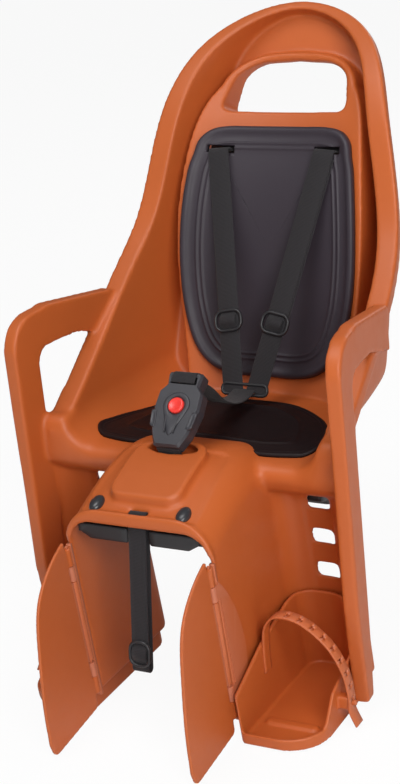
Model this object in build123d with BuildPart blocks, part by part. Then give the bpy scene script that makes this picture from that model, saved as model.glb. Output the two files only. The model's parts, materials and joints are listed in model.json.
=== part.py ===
# Child bike seat for a rear carrier, in millimetres.
# X points to the child's left, -Y is forward, Z is up; z = 0 is the carrier top.
import math
import os
from build123d import *

os.makedirs("parts", exist_ok=True)

# moulded shell
wall = 4
recline = 22
back_foot_y = 158
back_foot_z = 69
pan_height = 52
pan_front_y = -42
roll_half = 124
panel_depth = 26
rim_depth = 40
front_depth = 215
hip_half = 134
waist_half = 127
shoulder_half = 99
waist_level = 146
shoulder_level = 305
crown_level = 430
side_flare = 17
corner_radius = 38
flange_width = 25
lip_depth = 14

# back panel boss and the grip opening in it
boss_half = 117
boss_top = 384
boss_low = -16
boss_curve = 350
boss_sink = 24
grip_bottom = 310
grip_top = 374
grip_half = 80
strap_slot_x = 67
strap_slot_level = 263
strap_slot_width = 36
strap_slot_height = 11

# arms and leg wells
arm_out = 192
arm_turn = 6.75
arm_thick = 17
arm_front_y = -68
arm_top_z = 204
arm_foot_z = -207
arm_band = 41
well_inner = 86
well_outer = 184
well_bend = 146
well_sweep = 36
well_back_y = 1
well_lean = 8
well_foot_z = -192
slot_width = 26
slot_height = 16
slot_pitch = 43
slot_first_z = 5
slot_inner_x = 118

# hump over the carrier
hump_front_y = -161
hump_front_z = 40
hump_rear_z = 69
hump_shoulder = 42
mouth_z = 23
mouth_radius = 26
hump_top = 9
bead_rise = 2
bead_width = 5
plate_half = 42
plate_rise = 9
recess_depth = 2.5
web_slot_y = -150
web_slot_width = 22
pocket_half = 31
pocket_floor = 62

# spoke guards and their hinge line
guard_x = 84
guard_thick = 3.6
hinge_top_y = -165
hinge_top_z = -5
hinge_foot_y = -142
hinge_foot_z = -201
hinge_gap = 7
knuckle_radius = 4
pin_radius = 1.5
fit = 0.3
leaf_thick = 2.4

# pads, webbing and buckle
back_pad_thick = 10
pad_low = 4
pad_top = 288
seat_pad_thick = 9
web_width = 25
web_thick = 1.6
buckle_web_width = 28
join_y = 106
join_z = 72
join_x = 14
buckle_foot_y = -76
buckle_foot_z = 78
buckle_lean = 46
buckle_length = 86
buckle_half = 27
buckle_depth = 9
button_radius = 9
button_travel = 3

# footrests
foot_inner = 92
foot_outer = 178
sole_z = -217
sole_thick = 5
foot_wall = 4
foot_strap_width = 14
foot_strap_y = -82
foot_strap_out = 192
stud_z = -188
stud_radius = 3
foot_strap_thick = 2
foot_strap_top = -97
foot_strap_low = -166
toe_y = -151

# carrier clamp
rail_x = 60
rail_radius = 8
rail_drop = 9
jaw_front_y = 10
jaw_length = 60
jaw_thick = 20
jaw_room_top = 26
spindle_z = 8
spindle_radius = 4
knob_x = 100
knob_length = 30
knob_radius = 22
base_half = 76
base_rear_y = 96
base_floor = 8
bolt_x = 51
bolt_y = -146
bolt_radius = 3
bolt_head_z = 46
rear_screw_x = 45
rear_screw_y = 84
rear_screw_radius = 2.5
base_front_y = -152
bar_y = -149
bar_z = 26
base_step = 9
bar_radius = 3.4
frame_strap_lean = 9.5
frame_strap_drop = 156
frame_strap_width = 20

lean = math.radians(recline)


def back_plane(forward):
    """Plane parallel to the backrest, moved forward along its normal."""
    return Plane(
        origin=(0, back_foot_y - forward * math.cos(lean), back_foot_z + forward * math.sin(lean)),
        x_dir=(1, 0, 0),
        z_dir=(0, -math.cos(lean), math.sin(lean)),
    )


def floor_level(forward):
    """Height of the level pan measured up the leaning backrest."""
    return (pan_height - back_foot_z - forward * math.sin(lean)) / math.cos(lean)


def tub(grow):
    """Inside of the bucket, or the same form grown outward."""
    crown_grow = min(grow, wall) + 0.3 * max(grow - wall, 0)
    stations = [(-panel_depth - min(grow, wall), 0), (rim_depth, 1), (front_depth, 1.5)]
    with BuildPart() as body:
        for forward, step in stations:
            hip = hip_half + 11 * step + grow
            waist = waist_half + side_flare * step + grow
            shoulder = shoulder_half + side_flare * step + grow
            crown = crown_level + 6 * step + crown_grow
            low = floor_level(forward) - grow
            radius = corner_radius + grow
            rise = (crown - shoulder_level) * 0.707
            with BuildSketch(back_plane(forward)):
                with BuildLine():
                    Line((-hip + radius, low), (hip - radius, low))
                    RadiusArc((hip - radius, low), (hip, low + radius), -radius)
                    Spline(
                        (hip, low + radius),
                        (waist, waist_level),
                        (shoulder, shoulder_level),
                        (shoulder * 0.707, shoulder_level + rise),
                        (0, crown),
                        (-shoulder * 0.707, shoulder_level + rise),
                        (-shoulder, shoulder_level),
                        (-waist, waist_level),
                        (-hip, low + radius),
                        tangents=((0, 1), (0, -1)),
                    )
                    RadiusArc((-hip, low + radius), (-hip + radius, low), -radius)
                make_face()
        loft()
    return body.part


def behind_rim(back, down):
    """Everything behind the rim line seen from the side, moved back and down."""
    with BuildPart() as body:
        with BuildSketch(Plane.YZ):
            with BuildLine():
                Spline(
                    (352 + back, 492 - down),
                    (326 + back, 466 - down),
                    (279 + back, 428 - down),
                    (231 + back, 367 - down),
                    (183 + back, 247 - down),
                    (119 + back, 186 - down),
                    (-4 + back, 95 - down),
                    (pan_front_y + back, 70 - down),
                )
                Polyline(
                    (pan_front_y + back, 70 - down),
                    (pan_front_y + back, -260),
                    (480, -260),
                    (480, 492 - down),
                    (352 + back, 492 - down),
                )
            make_face()
        extrude(amount=260, both=True)
    return body.part


def boss_front(forward):
    """Space in front of the concave backrest face, moved forward."""
    with BuildPart() as body:
        for level, depth in [(-40, -2), (150, 6), (262, 14), (325, 2), (400, -boss_sink - 12)]:
            spot = back_plane(0).from_local_coords((0, level, 0))
            side = -(depth + forward + 150**2 / (2 * boss_curve))
            across = Plane(origin=spot, x_dir=(1, 0, 0), z_dir=(0, math.sin(lean), math.cos(lean)))
            with BuildSketch(across):
                with BuildLine():
                    ThreePointArc((-150, side), (0, -depth - forward), (150, side))
                    Polyline((150, side), (150, -190), (-150, -190), (-150, side))
                make_face()
        loft()
    return body.part


def boss_block(grow, front, rear):
    """Backrest boss outline drawn between two depths."""
    half = boss_half + grow
    low = boss_low - 2 * grow
    with BuildPart() as body:
        with BuildSketch(back_plane(rear)):
            with BuildLine():
                Spline(
                    (half - 20, low),
                    (half, waist_level),
                    (half - 7, 262),
                    (half * 0.76, 335),
                    (0, boss_top + grow),
                    (-half * 0.76, 335),
                    (-half + 7, 262),
                    (-half, waist_level),
                    (-half + 20, low),
                )
                Line((-half + 20, low), (half - 20, low))
            make_face()
        extrude(amount=front - rear)
    return body.part


def grip_block(grow):
    """Hand grip opening through the top of the backrest."""
    with BuildPart() as body:
        with BuildSketch(back_plane(-80)) as opening:
            with BuildLine():
                Polyline(
                    (-grip_half - grow, grip_bottom - grow),
                    (grip_half + grow, grip_bottom - grow),
                    (grip_half - 14 + grow, grip_top - 4 + grow),
                    (0, grip_top + grow),
                    (-grip_half + 14 - grow, grip_top - 4 + grow),
                    close=True,
                )
            make_face()
            fillet(opening.vertices().group_by(Axis.Y)[0], 9 + grow)
            fillet(opening.vertices().sort_by(Axis.Y)[-3:-1], 34 + grow)
        extrude(amount=160)
    return body.part


def arm():
    """Armrest and outer leg post as one band, on the child's left."""
    turn = math.radians(arm_turn)
    face = Plane(
        origin=(arm_out, 0, 0),
        x_dir=(-math.sin(turn), math.cos(turn), 0),
        z_dir=(math.cos(turn), math.sin(turn), 0),
    )
    under = arm_top_z - arm_band - 4
    rear = arm_front_y + arm_band
    with BuildPart() as body:
        with BuildSketch(face) as outline:
            with BuildLine():
                Polyline(
                    (114, 186),
                    (0, arm_top_z),
                    (arm_front_y, arm_top_z - 4),
                    (arm_front_y + 2, -90),
                    (arm_front_y + 17, arm_foot_z),
                    (rear - 4, arm_foot_z),
                    (rear, -140),
                    (rear, under),
                    (40, under - 2),
                    (114, 134),
                    close=True,
                )
            make_face()
            fillet(outline.vertices().sort_by_distance((arm_front_y, arm_top_z - 4, 0))[0], 38)
            fillet(outline.vertices().sort_by_distance((rear, under, 0))[0], 16)
        extrude(amount=-arm_thick)
        with BuildSketch(face.offset(-wall)) as pocket:
            with BuildLine():
                Polyline(
                    (104, 178),
                    (0, arm_top_z - 6),
                    (arm_front_y + 22, arm_top_z - 8),
                    (arm_front_y + 6, arm_top_z - 34),
                    (arm_front_y + 8, -90),
                    (arm_front_y + 22, arm_foot_z + 6),
                    (rear + 9, arm_foot_z + 6),
                    (rear + 9, under - 9),
                    (104, 120),
                    close=True,
                )
            make_face()
        extrude(amount=-(arm_thick - 2 * wall), mode=Mode.SUBTRACT)
    return body.part


tilt = math.tan(math.radians(well_lean))
rise_dir = (0, -math.sin(math.radians(well_lean)), math.cos(math.radians(well_lean)))


def well_back(z):
    """Front face of the leaning leg well back wall at a height."""
    return well_back_y - z * tilt


def channel(grow, foot, top, inner_radius, outer_radius, front):
    """Leg well plan drawn up the leaning back wall."""
    with BuildPart() as body:
        with BuildSketch(Plane.XY.offset(foot)) as plan:
            with BuildLine():
                Polyline(
                    (well_inner - grow, front),
                    (well_inner - grow, well_back(foot) + grow),
                    (well_bend + 0.4 * grow, well_back(foot) + grow),
                    (well_outer + grow, well_back(foot) - well_sweep + 0.4 * grow),
                    (well_outer + grow, front),
                    close=True,
                )
            make_face()
            fillet(plan.vertices().group_by(Axis.Y)[-1].sort_by(Axis.X)[0], inner_radius + grow)
            fillet(plan.vertices().group_by(Axis.Y)[-1].sort_by(Axis.X)[-1], outer_radius + grow)
        extrude(amount=(top - foot) / rise_dir[2], dir=rise_dir)
    return body.part


def nose():
    """Rolled front edge of the pan over one leg well."""
    with BuildPart() as body:
        with BuildSketch(Plane.YZ.offset(hump_shoulder)) as profile:
            with BuildLine():
                Polyline(
                    (16, pan_height),
                    (pan_front_y + 20, pan_height + 1),
                    (pan_front_y, pan_height - 3),
                    (pan_front_y + 5, pan_height - 22),
                    (well_back(6), 6),
                    (well_back(-30), -30),
                    (well_back(-30) + wall, -30),
                    (well_back(6) + wall, 8),
                    (pan_front_y + 9.5, pan_height - 19),
                    (pan_front_y + 5, pan_height - 8),
                    (pan_front_y + 20, pan_height - wall),
                    (16, pan_height - wall),
                    close=True,
                )
            make_face()
            fillet(profile.vertices().sort_by_distance((pan_front_y, pan_height - 3, 0))[0], 14)
            fillet(profile.vertices().sort_by_distance((pan_front_y + 5, pan_height - 22, 0))[0], 10)
            fillet(profile.vertices().sort_by_distance((well_back(6), 6, 0))[0], 28)
        extrude(amount=well_outer - 4 - hump_shoulder)
        with Locations((well_outer, 100 - 14, pan_height)):
            Box(2 * (well_outer - well_bend - 6), 200, 200, mode=Mode.SUBTRACT)
    return body.part


def hump(inset, top_inset, bottom):
    """Saddle over the carrier, from the front mouth to the pan."""
    stations = [
        (hump_front_y - 19, hump_front_z - 10),
        (-120, hump_front_z + 12),
        (-46, hump_rear_z),
        (20, pan_height - 3),
    ]
    with BuildPart() as body:
        for y, top in stations:
            half = well_inner - inset
            radius = hump_shoulder - inset
            high = top - top_inset
            with BuildSketch(Plane(origin=(0, y, 0), x_dir=(1, 0, 0), z_dir=(0, -1, 0))):
                with BuildLine():
                    Polyline((-half, high - radius), (-half, bottom), (half, bottom), (half, high - radius))
                    RadiusArc((half, high - radius), (half - radius, high), -radius)
                    Line((half - radius, high), (-half + radius, high))
                    RadiusArc((-half + radius, high), (-half, high - radius), -radius)
                make_face()
        loft()
    return body.part


front_cut = Pos(0, hump_front_y - 200, 0) * Box(600, 400, 900)
bead_zone = Pos(0, hump_front_y + bead_width / 2, 0) * Box(600, bead_width, 900)
with BuildPart() as mouth:
    with BuildSketch(Plane.XZ.offset(-hump_front_y - 40)) as opening:
        with Locations((0, mouth_z - 200)):
            Rectangle(2 * (well_inner - wall), 400)
        fillet(opening.vertices().group_by(Axis.Y)[-1], mouth_radius)
    extrude(amount=80)

with BuildPart() as wall_front:
    with BuildSketch(Plane.YZ):
        with BuildLine():
            Polyline(
                (hinge_top_y + hinge_gap - 4, hinge_top_z + 12),
                (hinge_top_y + hinge_gap, hinge_top_z + 4),
                (hinge_foot_y + hinge_gap, hinge_foot_z),
                (hinge_foot_y - 300, hinge_foot_z),
                (hinge_foot_y - 300, hinge_top_z + 12),
                close=True,
            )
        make_face()
    extrude(amount=120, both=True)

well_space = channel(0, well_foot_z - 30, 60, 25, 40, -330)
well_shell = channel(wall, well_foot_z, 46, 25, 40, -300) - well_space
post_gap = Pos(well_outer + 20, -240, -100) * Box(100, 400, 600)
jaw_room = Pos(0, 3 + 50, jaw_room_top - 100) * Box(2 * well_inner + 20, 100, 200)
hump_form = hump(0, 0, -60) - front_cut - wall_front.part - jaw_room
bead = (hump(-bead_rise, -bead_rise, -20) & bead_zone) - wall_front.part
hump_hollow = hump(wall, hump_top, -90) - Pos(0, wall, 0) * front_cut
fin = Pos(0, pan_front_y - 200, 200 - 40) * Box(2 * well_inner + 2, 400, 400)
well_shell = well_shell - post_gap - front_cut - wall_front.part - fin


def other_side(shape):
    """The same form on the child's right."""
    return mirror(shape, about=Plane.YZ)


inside = tub(0)
keep = behind_rim(0, 0)
roll_room = Pos(0, pan_front_y - 30, pan_height - 20) * Box(2 * roll_half, 100, 46)
bucket = ((tub(wall) - inside) & keep) - roll_room
above_roll = Pos(0, 100, 60 + 250) * Box(600, 700, 500)
rim_form = tub(flange_width)
flange = (rim_form - inside) & (keep - behind_rim(wall, wall)) & above_roll
lip = (rim_form - tub(flange_width - wall)) & (keep - behind_rim(lip_depth, lip_depth)) & above_roll
boss = boss_block(0, 60, -panel_depth - wall) - boss_front(0)
boss_hollow = boss_block(-wall, 60, -panel_depth - wall - 20) - boss_front(-wall) - grip_block(wall)
left_arm = arm()
left_nose = nose()

with BuildPart() as plate_plan:
    with BuildSketch(Plane.XY) as plan:
        with BuildLine():
            Polyline(
                (-plate_half, -142),
                (plate_half, -142),
                (plate_half, -46),
                (-plate_half, -46),
                close=True,
            )
        make_face()
        fillet(plan.vertices().group_by(Axis.Y)[0], 16)
        fillet(plan.vertices().group_by(Axis.Y)[-1], 30)
    extrude(amount=120)
plate = hump(0, -plate_rise, -40) & plate_plan.part

with BuildPart() as recess_plan:
    with BuildSketch(Plane.XY) as plan:
        with BuildLine():
            Polyline((-66, -157), (66, -157), (65, -120), (59, -49), (-59, -49), (-65, -120), close=True)
        make_face()
        fillet(plan.vertices(), 9)
    extrude(amount=120)
recess = recess_plan.part - hump(0, recess_depth, -60)

tip = math.radians(buckle_lean)
buckle_plane = Plane(
    origin=(0, buckle_foot_y, buckle_foot_z),
    x_dir=(1, 0, 0),
    z_dir=(0, -math.cos(tip), math.sin(tip)),
)
crotch_slot = buckle_plane * Pos(0, -42, 0) * Box(34, 62, 5)
with BuildPart() as pocket:
    with BuildSketch(buckle_plane.offset(-60)):
        with Locations((0, 0)):
            Ellipse(pocket_half, 16)
    extrude(amount=120)
    with BuildSketch(Plane.XY.offset(pocket_floor)):
        with Locations((0, buckle_foot_y)):
            Rectangle(200, 200)
    extrude(amount=100, mode=Mode.INTERSECT)

with BuildPart() as seat_shell:
    add(bucket)
    add(flange)
    add(lip)
    add(boss)
    for part in (left_arm, left_nose, well_shell):
        add(part)
        add(other_side(part))
    add(hump_form)
    add(bead)
    add(recess, mode=Mode.SUBTRACT)
    add(plate)
    add(boss_hollow, mode=Mode.SUBTRACT)
    add(grip_block(0), mode=Mode.SUBTRACT)
    add(hump_hollow, mode=Mode.SUBTRACT)
    add(mouth.part, mode=Mode.SUBTRACT)
    with Locations((0, web_slot_y, hump_front_z)):
        Box(web_slot_width, 9, 60, mode=Mode.SUBTRACT)
    add(pocket.part, mode=Mode.SUBTRACT)
    add(crotch_slot, mode=Mode.SUBTRACT)
    with Locations(*[back_plane(0) * Pos(side * strap_slot_x, strap_slot_level, 0) for side in (-1, 1)]):
        Box(strap_slot_width, strap_slot_height, 120, mode=Mode.SUBTRACT)
    for side in (-1, 1):
        for step in range(5):
            z = slot_first_z - slot_height / 2 - step * slot_pitch
            with Locations((side * (slot_inner_x + slot_width / 2), well_back(z) + wall / 2, z)):
                Box(slot_width, 30, slot_height, mode=Mode.SUBTRACT)
    with Locations((-bolt_x, bolt_y, 0), (bolt_x, bolt_y, 0)):
        Cylinder(bolt_radius, 160, mode=Mode.SUBTRACT)
    with Locations((-rear_screw_x, rear_screw_y, 40), (rear_screw_x, rear_screw_y, 40)):
        Cylinder(rear_screw_radius, 60, mode=Mode.SUBTRACT)
seat_shell.part.label = "seat_shell"
export_step(seat_shell.part, "parts/seat_shell.step")

# foam pads
with BuildPart() as backrest_pad:
    with BuildSketch(back_plane(-20)) as outline:
        with BuildLine():
            Polyline(
                (-66, pad_low),
                (66, pad_low),
                (boss_half - 9, 88),
                (boss_half - 7, waist_level + 20),
                (boss_half - 20, pad_top),
                (-boss_half + 20, pad_top),
                (-boss_half + 7, waist_level + 20),
                (-boss_half + 9, 88),
                close=True,
            )
        make_face()
        fillet(outline.vertices().group_by(Axis.Y)[0], 46)
        fillet(outline.vertices().group_by(Axis.Y)[-1], 34)
        fillet(outline.vertices().filter_by_position(Axis.Y, 86, 90), 60)
    extrude(amount=110)
    add(boss_front(0), mode=Mode.INTERSECT)
    add(boss_front(back_pad_thick), mode=Mode.SUBTRACT)
    with Locations(*[back_plane(0) * Pos(side * strap_slot_x, strap_slot_level, 0) for side in (-1, 1)]):
        Box(strap_slot_width, strap_slot_height, 120, mode=Mode.SUBTRACT)
backrest_pad.part.label = "backrest_pad"
export_step(backrest_pad.part, "parts/backrest_pad.step")

with BuildPart() as seat_pad:
    with BuildSketch(Plane.XY):
        with BuildLine():
            Spline(
                (0, 128),
                (54, 120),
                (96, 86),
                (119, 52),
                (132, 16),
                (132, -12),
                (106, -26),
                (62, -26),
                (0, -14),
                (-62, -26),
                (-106, -26),
                (-132, -12),
                (-132, 16),
                (-119, 52),
                (-96, 86),
                (-54, 120),
                periodic=True,
            )
        make_face()
    extrude(amount=160)
    add(inside, mode=Mode.INTERSECT)
    add(tub(-seat_pad_thick), mode=Mode.SUBTRACT)
    add(hump(0, 0, -40), mode=Mode.SUBTRACT)
    add(left_nose, mode=Mode.SUBTRACT)
    add(other_side(left_nose), mode=Mode.SUBTRACT)
seat_pad_body = seat_pad.part.solids().sort_by(SortBy.VOLUME)[-1]
seat_pad_body.label = "seat_pad"
export_step(seat_pad_body, "parts/seat_pad.step")

# shoulder harness
slot_spot = back_plane(0).from_local_coords((0, strap_slot_level, 0))
pad_face = 14 + strap_slot_x**2 / (2 * boss_curve) + back_pad_thick
strap_top = back_plane(0).from_local_coords((0, strap_slot_level, pad_face + 3))
run_y = join_y - strap_top.Y
run_z = join_z - strap_top.Z
run = math.hypot(run_y, run_z)
strap_plane = Plane(origin=strap_top, x_dir=(1, 0, 0), z_dir=(0, run_z / run, -run_y / run))

with BuildPart() as shoulder_strap_left:
    with BuildSketch(strap_plane):
        with BuildLine():
            Polyline(
                (strap_slot_x - web_width / 2, web_thick),
                (strap_slot_x + web_width / 2, web_thick),
                (join_x + web_width / 2, -run),
                (join_x - web_width / 2, -run),
                close=True,
            )
        make_face()
    extrude(amount=web_thick)
    with BuildSketch(back_plane(pad_face + 4)):
        with Locations((strap_slot_x, strap_slot_level)):
            Rectangle(web_width, web_thick)
    extrude(amount=-(back_pad_thick + wall + 18))
shoulder_strap_left.part.label = "shoulder_strap_left"
export_step(shoulder_strap_left.part, "parts/shoulder_strap_left.step")
shoulder_strap_right = other_side(shoulder_strap_left.part)
shoulder_strap_right.label = "shoulder_strap_right"
export_step(shoulder_strap_right, "parts/shoulder_strap_right.step")

with BuildPart() as strap_keeper_left:
    with BuildSketch(back_plane(pad_face - back_pad_thick - wall - 6)):
        with Locations((strap_slot_x, strap_slot_level)):
            RectangleRounded(strap_slot_width + 8, strap_slot_height + 8, 3)
    extrude(amount=-5)
    add(shoulder_strap_left.part, mode=Mode.SUBTRACT)
strap_keeper_left.part.label = "strap_keeper_left"
export_step(strap_keeper_left.part, "parts/strap_keeper_left.step")
strap_keeper_right = other_side(strap_keeper_left.part)
strap_keeper_right.label = "strap_keeper_right"
export_step(strap_keeper_right, "parts/strap_keeper_right.step")

adjuster_share = 0.71
adjuster_x = strap_slot_x + (join_x - strap_slot_x) * adjuster_share
strap_skew = math.degrees(math.atan2(strap_slot_x - join_x, run))
with BuildPart() as strap_adjuster_left:
    with BuildSketch(strap_plane.offset(web_thick / 2)):
        with Locations(Location((adjuster_x, -run * adjuster_share, 0), (0, 0, -strap_skew))):
            RectangleRounded(web_width + 9, 26, 4)
    extrude(amount=3.2, both=True)
    add(shoulder_strap_left.part, mode=Mode.SUBTRACT)
strap_adjuster_left.part.label = "strap_adjuster_left"
export_step(strap_adjuster_left.part, "parts/strap_adjuster_left.step")
strap_adjuster_right = other_side(strap_adjuster_left.part)
strap_adjuster_right.label = "strap_adjuster_right"
export_step(strap_adjuster_right, "parts/strap_adjuster_right.step")

# buckle web from the harness link to the buckle
window = buckle_plane.from_local_coords((0, buckle_length - 10, 0))
web_y = window.Y - join_y
web_z = window.Z - join_z
reach = math.hypot(web_y, web_z)
buckle_web_plane = Plane(
    origin=(0, join_y, join_z),
    x_dir=(1, 0, 0),
    z_dir=(0, -web_z / reach, web_y / reach),
)

with BuildPart() as buckle_web:
    with BuildSketch(buckle_web_plane):
        with Locations((0, reach / 2 - 1)):
            Rectangle(buckle_web_width, reach + 8)
    extrude(amount=web_thick / 2, both=True)
    add(shoulder_strap_left.part, mode=Mode.SUBTRACT)
    add(shoulder_strap_right, mode=Mode.SUBTRACT)
buckle_web.part.label = "buckle_web"
export_step(buckle_web.part, "parts/buckle_web.step")

with BuildPart() as harness_link:
    with BuildSketch(strap_plane.offset(web_thick / 2)):
        with Locations((0, -run + 6)):
            RectangleRounded(2 * (join_x + web_width / 2) + 8, 15, 4)
    extrude(amount=5, both=True)
    add(shoulder_strap_left.part, mode=Mode.SUBTRACT)
    add(shoulder_strap_right, mode=Mode.SUBTRACT)
    add(buckle_web.part, mode=Mode.SUBTRACT)
harness_link.part.label = "harness_link"
export_step(harness_link.part, "parts/harness_link.step")

# crotch strap with its sewn stop under the hump
with BuildPart() as crotch_strap:
    with BuildSketch(buckle_plane):
        with Locations((0, -30)):
            Rectangle(28, 80)
    extrude(amount=web_thick / 2, both=True)
    with BuildSketch(buckle_plane):
        with Locations((0, -74)):
            Rectangle(40, 8)
    extrude(amount=5, both=True)
crotch_strap.part.label = "crotch_strap"
export_step(crotch_strap.part, "parts/crotch_strap.step")

# buckle halves and release button
button_level = 46


def buckle_outline(inset):
    """Shield outline of the buckle."""
    with BuildSketch() as outline:
        with BuildLine():
            Polyline(
                (-15 + inset, inset),
                (15 - inset, inset),
                (22 - inset, 16),
                (buckle_half - inset, 44),
                (buckle_half - 1 - inset, 62),
                (19 - inset, 70),
                (21 - inset, buckle_length - inset),
                (-21 + inset, buckle_length - inset),
                (-19 + inset, 70),
                (-buckle_half + 1 + inset, 62),
                (-buckle_half + inset, 44),
                (-22 + inset, 16),
                close=True,
            )
        make_face()
        fillet(outline.vertices(), 3)
    return outline.sketch


with BuildPart() as buckle_back:
    with BuildSketch(buckle_plane.offset(-buckle_depth)):
        add(buckle_outline(1.5))
    with BuildSketch(buckle_plane.offset(-buckle_depth + 3)):
        add(buckle_outline(0))
    loft()
    with BuildSketch(buckle_plane.offset(-buckle_depth + 3)):
        add(buckle_outline(0))
    extrude(amount=buckle_depth - 3)
    with Locations(buckle_plane * Pos(0, buckle_length - 10, 0)):
        Box(buckle_web_width + 3, 9, 40, mode=Mode.SUBTRACT)
    add(buckle_web.part, mode=Mode.SUBTRACT)
    add(crotch_strap.part, mode=Mode.SUBTRACT)
buckle_back.part.label = "buckle_back"
export_step(buckle_back.part, "parts/buckle_back.step")

with BuildPart() as buckle_front:
    with BuildSketch(buckle_plane):
        add(buckle_outline(0))
    extrude(amount=buckle_depth - 3)
    with BuildSketch(buckle_plane.offset(buckle_depth - 3)):
        add(buckle_outline(0))
    with BuildSketch(buckle_plane.offset(buckle_depth)):
        add(buckle_outline(2))
    loft()
    with Locations(buckle_plane * Pos(0, buckle_length - 10, 0)):
        Box(buckle_web_width + 3, 9, 40, mode=Mode.SUBTRACT)
    with BuildSketch(buckle_plane.offset(buckle_depth + 1)):
        with Locations((0, button_level)):
            Circle(button_radius + fit)
    extrude(amount=-buckle_depth, mode=Mode.SUBTRACT)
    with BuildSketch(buckle_plane):
        with Locations((0, button_level)):
            Circle(button_radius + 2.5)
    extrude(amount=buckle_depth - 3, mode=Mode.SUBTRACT)
    add(buckle_web.part, mode=Mode.SUBTRACT)
    add(crotch_strap.part, mode=Mode.SUBTRACT)
buckle_front.part.label = "buckle_front"
export_step(buckle_front.part, "parts/buckle_front.step")

with BuildPart() as buckle_button:
    with BuildSketch(buckle_plane.offset(button_travel + fit)):
        with Locations((0, button_level)):
            Circle(button_radius + 2)
    extrude(amount=buckle_depth - 3 - fit - button_travel - fit)
    with BuildSketch(buckle_plane.offset(button_travel + fit)):
        with Locations((0, button_level)):
            Circle(button_radius)
    extrude(amount=buckle_depth + 1.5 - button_travel - fit)
buckle_button.part.label = "buckle_button"
export_step(buckle_button.part, "parts/buckle_button.step")

# carrier base under the hump and pan
with BuildPart() as carrier_base:
    with BuildSketch(Plane.XY) as plan:
        with Locations((0, (base_front_y + base_rear_y) / 2)):
            Rectangle(2 * base_half, base_rear_y - base_front_y)
        with Locations((-base_half, jaw_front_y + jaw_length / 2), (base_half, jaw_front_y + jaw_length / 2)):
            Rectangle(2 * (base_half - rail_x + 4), jaw_length + 8, mode=Mode.SUBTRACT)
    extrude(amount=base_floor)
    for side in (-1, 1):
        with Locations((side * (rail_x - 9), jaw_front_y + jaw_length / 2, 16)):
            Box(10, jaw_length, 32)
        with Locations((side * rear_screw_x, rear_screw_y, (pan_height - wall) / 2)):
            Cylinder(9, pan_height - wall)
    with Locations((0, base_front_y + 25, base_step + 2.5)):
        Box(2 * base_half - 4, 50, 11)
    with Locations((0, base_front_y, base_step / 2)):
        Box(2 * base_half + 2, 80, base_step, mode=Mode.SUBTRACT)
    with Locations((0, base_front_y, base_floor / 2)):
        Box(30, 34, 60, mode=Mode.SUBTRACT)
    with Locations((-18, base_front_y + 6, bar_z - 7), (18, base_front_y + 6, bar_z - 7)):
        Box(6, 12, 20)
    with Locations(Location((0, bar_y, bar_z), (0, 90, 0))):
        Cylinder(bar_radius, 34)
    with Locations(Location((0, jaw_front_y + jaw_length / 2, spindle_z), (0, 90, 0))):
        Cylinder(spindle_radius + fit, 300, mode=Mode.SUBTRACT)
    with Locations((-rear_screw_x, rear_screw_y, 40), (rear_screw_x, rear_screw_y, 40)):
        Cylinder(rear_screw_radius, 120, mode=Mode.SUBTRACT)
    with Locations((-rear_screw_x, rear_screw_y, 0), (rear_screw_x, rear_screw_y, 0)):
        Cylinder(2 * rear_screw_radius, 6, mode=Mode.SUBTRACT)
with BuildPart() as bolt_bosses:
    with Locations((-bolt_x, bolt_y, 40), (bolt_x, bolt_y, 40)):
        Cylinder(7, 80)
    add(hump_hollow, mode=Mode.INTERSECT)
    with Locations((0, 0, base_floor / 2 - 100)):
        Box(400, 400, 200, mode=Mode.SUBTRACT)
with BuildPart() as carrier_base_full:
    add(carrier_base.part)
    add(bolt_bosses.part)
    with Locations((-bolt_x, bolt_y, 0), (bolt_x, bolt_y, 0)):
        Cylinder(bolt_radius, 200, mode=Mode.SUBTRACT)
carrier_base_full.part.label = "carrier_base"
export_step(carrier_base_full.part, "parts/carrier_base.step")

with BuildPart() as front_bolts:
    with BuildSketch(Plane.XY.offset(base_floor)):
        with Locations((-bolt_x, bolt_y), (bolt_x, bolt_y)):
            Ellipse(7, 9.5)
    extrude(amount=bolt_head_z - base_floor)
    with BuildSketch(Plane.XY.offset(bolt_head_z)):
        with Locations((-bolt_x, bolt_y), (bolt_x, bolt_y)):
            Ellipse(7, 9.5)
    extrude(amount=3, taper=35)
    add(hump(0, recess_depth, -60), mode=Mode.SUBTRACT)
    with BuildSketch(Plane.XY.offset(base_floor / 2)):
        with Locations((-bolt_x, bolt_y), (bolt_x, bolt_y)):
            Circle(bolt_radius)
    extrude(amount=bolt_head_z - base_floor / 2)
front_bolts.part.label = "front_bolts"
export_step(front_bolts.part, "parts/front_bolts.step")

with BuildPart() as rear_screws:
    with BuildSketch(Plane.XY):
        with Locations((-rear_screw_x, rear_screw_y), (rear_screw_x, rear_screw_y)):
            Circle(2 * rear_screw_radius)
    extrude(amount=3)
    with BuildSketch(Plane.XY):
        with Locations((-rear_screw_x, rear_screw_y), (rear_screw_x, rear_screw_y)):
            Circle(rear_screw_radius)
    extrude(amount=pan_height)
rear_screws.part.label = "rear_screws"
export_step(rear_screws.part, "parts/rear_screws.step")

# frame strap looped round the front bar, with its slider
hang = math.radians(frame_strap_lean)
strap_foot_y = bar_y - frame_strap_drop * math.sin(hang)
strap_foot_z = bar_z - frame_strap_drop * math.cos(hang)
loop_middle = ((bar_y + strap_foot_y) / 2, (bar_z + strap_foot_z) / 2)
with BuildPart() as frame_strap:
    with BuildSketch(Plane.YZ):
        with Locations(Location((loop_middle[0], loop_middle[1], 0), (0, 0, 90 - frame_strap_lean))):
            SlotCenterToCenter(frame_strap_drop, 2 * (bar_radius + web_thick))
            SlotCenterToCenter(frame_strap_drop, 2 * bar_radius, mode=Mode.SUBTRACT)
    extrude(amount=frame_strap_width / 2, both=True)
frame_strap.part.label = "frame_strap"
export_step(frame_strap.part, "parts/frame_strap.step")

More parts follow.
